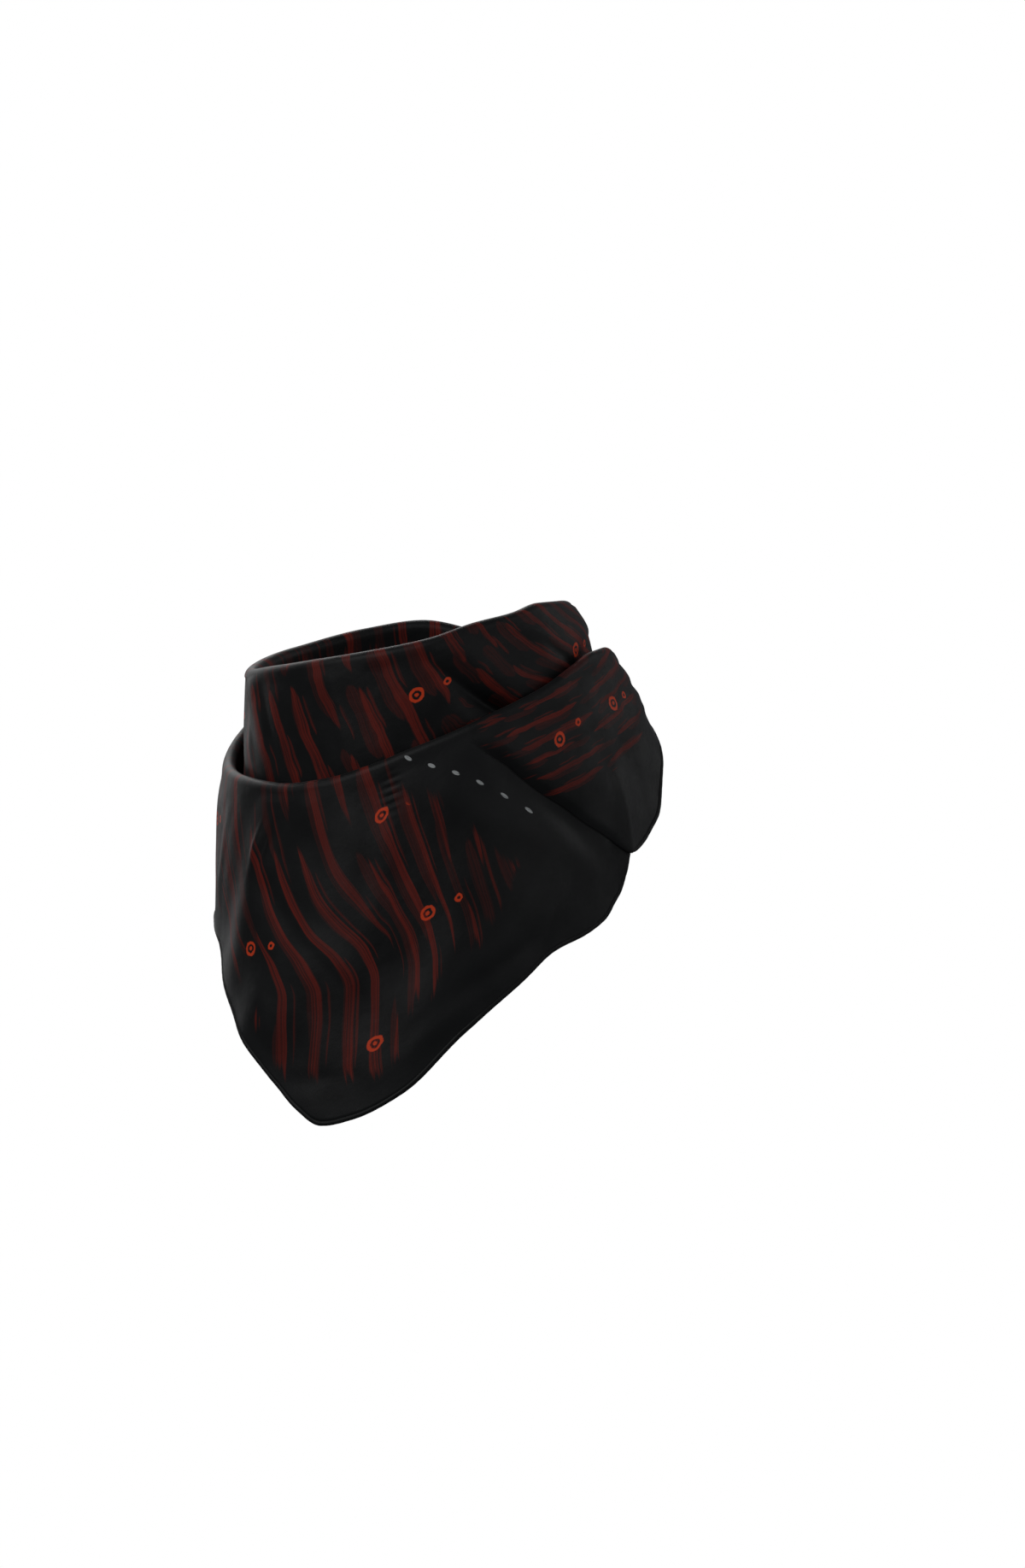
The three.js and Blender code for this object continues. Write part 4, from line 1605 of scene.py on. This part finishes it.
@dataclass
class RolledHem:
    """A hand-rolled hem: a thin cord of turned cloth, pinched at each slip stitch.

    Attributes:
        name: the piece's name.
        node: the solid that it stands for.
        sides: sides of the cord.
        step: distance between its rings.
        plump: its mean radius, as a share of the hem's roll.
        pinched: how much of that share each stitch takes.
        flattened: its thickness, as a share of its height.
    """

    name: str
    node: str
    sides: int = 14
    step: float = 0.6
    plump: float = 0.88
    pinched: float = 0.035
    flattened: float = 0.86

    def build(self, line: np.ndarray, above: np.ndarray,
              material: bpy.types.Material) -> bpy.types.Object:
        """Makes the hem along a line.

        Each ring is an oval round the line; its radius shrinks near every stitch.

        Args:
            line: the middle of the hem, in millimetres.
            above: for each point of the line, a point of the cloth just above it.
            material: its finish.

        Returns:
            The finished hem.
        """
        way = np.linalg.norm(np.diff(line, axis=0), axis=1)
        run = np.concatenate(([0], np.cumsum(way)))
        stops = spread(0, run[-1], int(run[-1] / self.step))
        centre = np.stack([np.interp(stops, run, line[:, k]) for k in range(3)], axis=-1)
        cloth = np.stack([np.interp(stops, run, above[:, k]) for k in range(3)], axis=-1)
        along = np.gradient(centre, axis=0)
        along /= np.linalg.norm(along, axis=1, keepdims=True)
        drop = centre - cloth
        drop -= (drop * along).sum(axis=1, keepdims=True) * along
        drop /= np.linalg.norm(drop, axis=1, keepdims=True)
        aside = np.cross(drop, along)
        pinch = (0.5 + 0.5 * np.cos(2 * np.pi * stops / STITCH)) ** 4
        slow = 0.03 * np.sin(stops / 9.3) + 0.02 * np.sin(stops / 4.1 + 1.0)
        ends = ease(np.minimum(stops, run[-1] - stops), -1.0, 7.0)
        fullness = self.plump + slow - self.pinched * pinch
        radius = (HEM_ROLL * fullness * (0.45 + 0.55 * ends))[:, None]
        angle = (2 * np.pi * np.arange(self.sides) / self.sides)[None, :]
        rings = (
            centre[:, None]
            + drop[:, None] * (radius * np.cos(angle))[..., None]
            + aside[:, None] * (self.flattened * radius * np.sin(angle))[..., None]
        )
        flat = pair(stops[:, None], HEM_ROLL * angle) * MM
        maps = {"Cloth": flat.reshape(-1, 2), "Stroke": flat.reshape(-1, 2)}
        plain = np.full(rings.shape[0] * rings.shape[1], -1.0)
        piece = tube(self.name, rings, False, maps, plain)
        return dress(piece, (self.node,), material)


@dataclass
class NapeKnot:
    """The small plain knot at the nape: a gathered barrel and the end that passes round it.

    Attributes:
        half_length: half the barrel's length, across the nape.
        radius: the barrel's radius where it is widest.
        depth: its thickness from front to back, as a share of its height.
        distance: from the axis of the neck to the knot's own axis.
        height: of the knot's axis.
        wrap_inner: radius inside the end that passes round.
        wrap_outer: radius outside it.
        wrap_half_width: half its width.
    """

    half_length: float = 14.4
    radius: float = 9.6
    depth: float = 0.8
    distance: float = 70.6
    height: float = -1.0
    wrap_inner: float = 7.5
    wrap_outer: float = 11.0
    wrap_half_width: float = 4.6

    def lie(self, along: np.ndarray, radius: np.ndarray, angle: np.ndarray) -> np.ndarray:
        """Lays a turned shape across the nape, flattened towards the neck.

        Args:
            along: distance along the knot, towards the wearer's left.
            radius: distance from the knot's own axis.
            angle: angle round that axis, in radians.

        Returns:
            Points in millimetres.
        """
        return np.stack((
            along, self.distance + self.depth * radius * np.cos(angle),
            self.height + radius * np.sin(angle),
        ), axis=-1)

    def barrel(self, material: bpy.types.Material) -> bpy.types.Object:
        """Makes the barrel: a waisted profile whose radius is ribbed by gathered folds.

        Args:
            material: its finish.

        Returns:
            The finished barrel.
        """
        profile = Table(("along", "radius"), (
            (-1, 0.16), (-0.97, 0.46), (-0.8, 0.88), (-0.52, 1), (-0.3, 0.88), (-0.18, 0.74),
            (0.18, 0.74), (0.3, 0.88), (0.52, 1), (0.8, 0.88), (0.97, 0.46), (1, 0.16),
        ))
        share = np.sin(spread(-np.pi / 2, np.pi / 2, 72))[:, None]
        angle = (2 * np.pi * np.arange(120) / 120)[None, :]
        ribs = 0.055 * np.sin(7 * angle + 2.6 * share) + 0.035 * np.sin(11 * angle - 4 * share + 1)
        body = profile.read("radius", share) * self.radius
        radius = body * (0.97 + ribs * ease(np.abs(share), 0.1, 0.5))
        along = np.broadcast_to(share * self.half_length, radius.shape)
        rings = self.lie(along, radius, -angle)
        flat = pair(along, angle * self.radius)
        stroke = flat / np.array([11.0, 1 / MM])
        maps = {"Cloth": (flat * MM).reshape(-1, 2), "Stroke": stroke.reshape(-1, 2)}
        paint = np.full(radius.size, 0.02)
        piece = tube("Nape_Knot", rings, False, maps, paint)
        return dress(piece, ("nape_knot",), material)

    def wrap(self, material: bpy.types.Material) -> bpy.types.Object:
        """Makes the end that passes round the waist: a pleated, flattened ring.

        Args:
            material: its finish.

        Returns:
            The finished ring.
        """
        bulge = (self.wrap_outer - self.wrap_inner) / 2
        around_knot = (2 * np.pi * np.arange(150) / 150)[:, None]
        angle = (2 * np.pi * np.arange(64) / 64)[None, :]
        across = np.sin(angle) * self.wrap_half_width
        across = across * (1 + 0.06 * np.sin(2 * around_knot + 0.5))
        pleats = 0.24 * np.sin(2.6 * across + 0.7 * np.sin(around_knot)) * (np.cos(angle) > 0)
        radius = self.wrap_inner + bulge * (1 + np.cos(angle)) - 0.1
        radius = radius + pleats * np.abs(np.cos(angle))
        rings = self.lie(across + 0 * around_knot, radius + 0 * around_knot, around_knot)
        flat = pair(around_knot * 9, across) * MM
        maps = {"Cloth": flat.reshape(-1, 2), "Stroke": flat.reshape(-1, 2)}
        piece = tube("Knot_Wrap", rings, True, maps, np.full(radius.size, -1.0))
        return dress(piece, ("knot_wrap",), material)


@dataclass
class Tail:
    """A loose end below the knot: it spreads, ripples and narrows to the square's corner.

    Attributes:
        side: the wearer's side.
        cut: its flat size.
        length: how far down it hangs.
        root_out: from the middle of the knot to where it comes out.
        root_half: half its width there.
        wide_half: half its width where it is widest.
        tip_half: half its width at the tip.
        wide_at: how far down it is widest, as a share.
        lean: how far outwards it drifts on its way down.
        stand_off: how far behind the knot's axis it starts.
        billow: how far back it swings on its way down.
        fold: depth of its lengthwise fold, as a share of half its width.
        skew: how far its outer side hangs below its inner one at the tip.
    """

    side: Side
    cut: Cut
    length: float = 60.0
    root_out: float = 8.9
    root_half: float = 3.6
    wide_half: float = 13.5
    tip_half: float = 0.9
    wide_at: float = 0.5
    lean: float = 17.0
    stand_off: float = 1.5
    billow: float = 7.0
    fold: float = 0.28
    skew: float = 3.0

    def build(self, knot: NapeKnot, material: bpy.types.Material) -> bpy.types.Object:
        """Makes the tail from two straight sides that meet a narrow tip.

        Args:
            knot: the knot that it comes out of.
            material: its finish.

        Returns:
            The finished tail.
        """
        across, down = spread(-1, 1, 64)[:, None], spread(0, 1, 110)[None, :]
        widening = self.root_half + (self.wide_half - self.root_half) * down / self.wide_at
        narrowing = self.tip_half + (self.wide_half - self.tip_half) * (1 - down) / (1 - self.wide_at)
        half = -np.logaddexp(-widening * 2, -narrowing * 2) / 2
        wave = self.fold * half * np.cos(across * np.pi)
        fan = 0.5 * np.sin(across * 9 + 2 * down) * ease(down, 1.0, 0.1) * ease(down, 0, 0.05)
        sign = self.side.value
        x = sign * (self.root_out + across * half + down * self.lean)
        y = knot.distance + wave + fan + self.billow * np.sin(down * 2) + self.stand_off
        z = knot.height - knot.radius - down * self.length - self.skew * across * down
        points = np.stack(np.broadcast_arrays(x, y, z), axis=-1)
        if self.side is Side.LEFT:
            points, across = points[::-1], across[::-1]
        flat = pair(across * half, down * self.length) * MM
        stroke = flat / np.array([9.5 * MM, 1])
        room = np.minimum(1 - np.abs(across), 1) * half
        end = (1 - down) * self.length
        paint = (np.minimum(room + 0 * end, end - 8 + 0 * room) - 2) * MM
        name, node = self.side.names("Tail")
        piece = cloth_wall(name, Surface(points, flat, stroke, paint))
        return dress(piece, (node,), material)


# ---- Studio ----
@dataclass(frozen=True)
class SoftBox:
    """A rectangular studio light that looks at the scarf.

    Attributes:
        name: the light's name.
        azimuth: where it stands, in degrees from the front towards the wearer's left.
        elevation: how high it stands, in degrees.
        size: its width and height, in metres.
        power: in watts.
        distance: from the scarf, in metres.
    """

    name: str
    azimuth: float
    elevation: float
    size: tuple[float, float]
    power: float
    distance: float = 2.6

    def build(self) -> None:
        """Makes the light, turned towards the scarf's middle."""
        data = bpy.data.lights.new(self.name, "AREA")
        data.shape, data.size, data.size_y = "RECTANGLE", *self.size
        data.energy = self.power
        light = bpy.data.objects.new(self.name, data)
        place = looking_from(self.azimuth, self.elevation) * self.distance
        light.location = place
        light.rotation_euler = place.to_track_quat("Z", "Y").to_euler()
        light.visible_camera = False
        bpy.context.scene.collection.objects.link(light)


def looking_from(azimuth: float, elevation: float) -> Vector:
    """Returns the direction towards a viewer; azimuth 0 is the front and 90 the wearer's left."""
    a, e = math.radians(azimuth), math.radians(elevation)
    return Vector((math.sin(a) * math.cos(e), -math.cos(a) * math.cos(e), math.sin(e)))


@dataclass
class Studio:
    """Pale floor, white surroundings, soft lights and the camera, in metres and degrees.

    Attributes:
        azimuth: where the camera stands, from the front towards the wearer's left.
        elevation: how high it stands.
        distance: from its aim.
        aim_right: how far to the right of the origin it aims.
        aim_up: how far above the origin it aims.
        lens: its focal length, in millimetres.
        sensor: the height of its sensor, in millimetres.
        floor_height: of the floor under a standing wearer.
        floor_radius: of the floor's disc.
        floor_sides: of that disc.
        boxes: the lights.
    """

    azimuth: float = 39.0
    elevation: float = 6.5
    distance: float = 2.0
    aim_right: float = 0.034
    aim_up: float = -0.036
    lens: float = 126.5
    sensor: float = 36.0
    floor_height: float = -1.38
    floor_radius: float = 3.8
    floor_sides: int = 96
    boxes: tuple[SoftBox, ...] = (
        SoftBox("Key", -12, 38, (1.2, 1.6), 21),
        SoftBox("Fill", 88, 22, (1.0, 1.6), 6),
        SoftBox("Left_Rim", -108, 14, (0.9, 1.8), 8.5),
        SoftBox("Right_Rim", 150, 24, (0.9, 1.8), 6.5),
        SoftBox("Back", 232, 30, (1.2, 1.4), 14),
    )

    def camera(self) -> None:
        """Makes the camera and gives it to the scene."""
        scene = bpy.context.scene
        data = bpy.data.cameras.new("View")
        data.lens, data.sensor_height, data.sensor_fit = self.lens, self.sensor, "VERTICAL"
        camera = bpy.data.objects.new("View", data)
        toward = looking_from(self.azimuth, self.elevation)
        right = looking_from(self.azimuth + 90, 0)
        up = toward.cross(right)
        aim = right * self.aim_right + up * self.aim_up
        camera.location = aim + toward * self.distance
        camera.rotation_euler = toward.to_track_quat("Z", "Y").to_euler()
        scene.collection.objects.link(camera)
        scene.camera = camera
        log.info("camera at %s", tuple(round(x, 3) for x in camera.location))

    def floor(self) -> None:
        """Makes the floor at a standing wearer's feet: a disc with a faint plaster grain."""
        angle = spread(0, 2 * np.pi, self.floor_sides)[:-1]
        rim = self.floor_radius / MM * pair(np.cos(angle), np.sin(angle))
        points = np.column_stack((rim, np.full(self.floor_sides, self.floor_height / MM)))
        shader = Shader(bpy.data.materials.new("Pale_Floor"))
        place = shader.wire("ShaderNodeTexCoord", output="Object")
        split = shader.node("ShaderNodeSeparateXYZ", inputs={0: place})
        x, y = (Wire(shader, split.outputs[name]) for name in ("X", "Y"))
        grain = shader.noise(x * 3.0, y * 3.0, detail=4.0)
        colour = shader.mix(grain.ease(0.3, 0.7), tone(236, 236, 236), tone(243, 243, 243))
        surface = shader.wire("ShaderNodeBsdfPrincipled", inputs={
            "Base Color": colour, "Roughness": 0.7, "Emission Color": colour,
            "Emission Strength": 0.8}, output="BSDF")
        shader.node("ShaderNodeOutputMaterial", inputs={"Surface": surface})
        plate = make_mesh("Floor", points, [np.arange(self.floor_sides)[None, :]], [], {})
        plate.data.materials.append(shader.owner)
        plate.visible_diffuse = False
        plate.visible_glossy = False

    def surroundings(self) -> None:
        """Sets plain white surroundings that light the scarf more softly than they show."""
        shader = Shader(bpy.data.worlds.new("Studio_White"))
        seen, light = (
            shader.wire("ShaderNodeBackground", inputs={"Color": colour, "Strength": strength})
            for colour, strength in (((1, 1, 1, 1), 1.0), ((0.94, 0.96, 1.0, 1), 0.12))
        )
        direct = shader.wire("ShaderNodeLightPath", output="Is Camera Ray")
        blend = shader.wire("ShaderNodeMixShader", inputs={0: direct, 1: light, 2: seen})
        shader.node("ShaderNodeOutputWorld", inputs={"Surface": blend})
        bpy.context.scene.world = shader.owner

    def build(self) -> None:
        """Makes everything round the scarf."""
        self.camera()
        self.floor()
        self.surroundings()
        for box in self.boxes:
            box.build()
        bpy.context.scene.view_settings.view_transform = "Standard"


@dataclass
class Scarf:
    """The whole scarf: its finishes and its pieces, in the order in which they are made.

    Attributes:
        striped: finish with brush strokes.
        seeded: finish with brush strokes and the row of seeds.
        plain: finish without a print.
        band: the band round the neck.
        fall: the fall over the chest.
        knot: the knot at the nape.
        wings: the wings over the two shoulders.
        tails: the two loose ends.
    """

    striped: Silk = Silk("Silk_Striped", Paint.STROKES)
    seeded: Silk = Silk("Silk_Striped_Seeded", Paint.STROKES_AND_SEEDS)
    plain: Silk = Silk("Silk_Plain", Paint.PLAIN)
    band: NeckBand = field(default_factory=NeckBand)
    fall: Fall = field(default_factory=Fall)
    knot: NapeKnot = field(default_factory=NapeKnot)
    wings: tuple[Wing, ...] = (
        Wing(Side.LEFT, Cut(0.165, 0.085, 0.0082, "draped")),
        Wing(Side.RIGHT, Cut(0.135, 0.075, 0.0062, "draped")),
    )
    tails: tuple[Tail, ...] = (
        Tail(Side.LEFT, Cut(0.027, 0.062, 0.0012, "hung")),
        Tail(Side.RIGHT, Cut(0.027, 0.062, 0.0012, "hung")),
    )

    def declare(self, piece: bpy.types.Object, cut: Cut) -> None:
        """Reads the length of a piece's cut and does nothing more with it.

        Args:
            piece: the sheet of cloth; not used.
            cut: its flat size.
        """
        cut.length

    def build(self) -> None:
        """Makes every piece of the scarf."""
        striped, seeded, plain = (silk.build() for silk in (self.striped, self.seeded, self.plain))
        band = self.band.build(striped)
        fall = self.fall.build(seeded)
        fall_hem = RolledHem("Fall_Hem", "fall_hem").build(*self.fall.hem_line(), plain)
        barrel, wrap = self.knot.barrel(striped), self.knot.wrap(plain)
        self.declare(band, self.band.cut)
        self.declare(fall, self.fall.cut)
        for wing, extra in zip(self.wings, (barrel, wrap)):
            piece = wing.build(striped)
            hem = RolledHem(*wing.side.names("Wing_Hem")).build(*wing.hem_line(), plain)
            self.declare(piece, wing.cut)
        for tail in self.tails:
            self.declare(tail.build(self.knot, striped), tail.cut)


def main() -> None:
    """Builds the studio and the scarf."""
    logging.basicConfig(level=logging.INFO, format="%(name)s: %(message)s")
    Studio().build()
    Scarf().build()


if __name__ == "__main__":
    main()
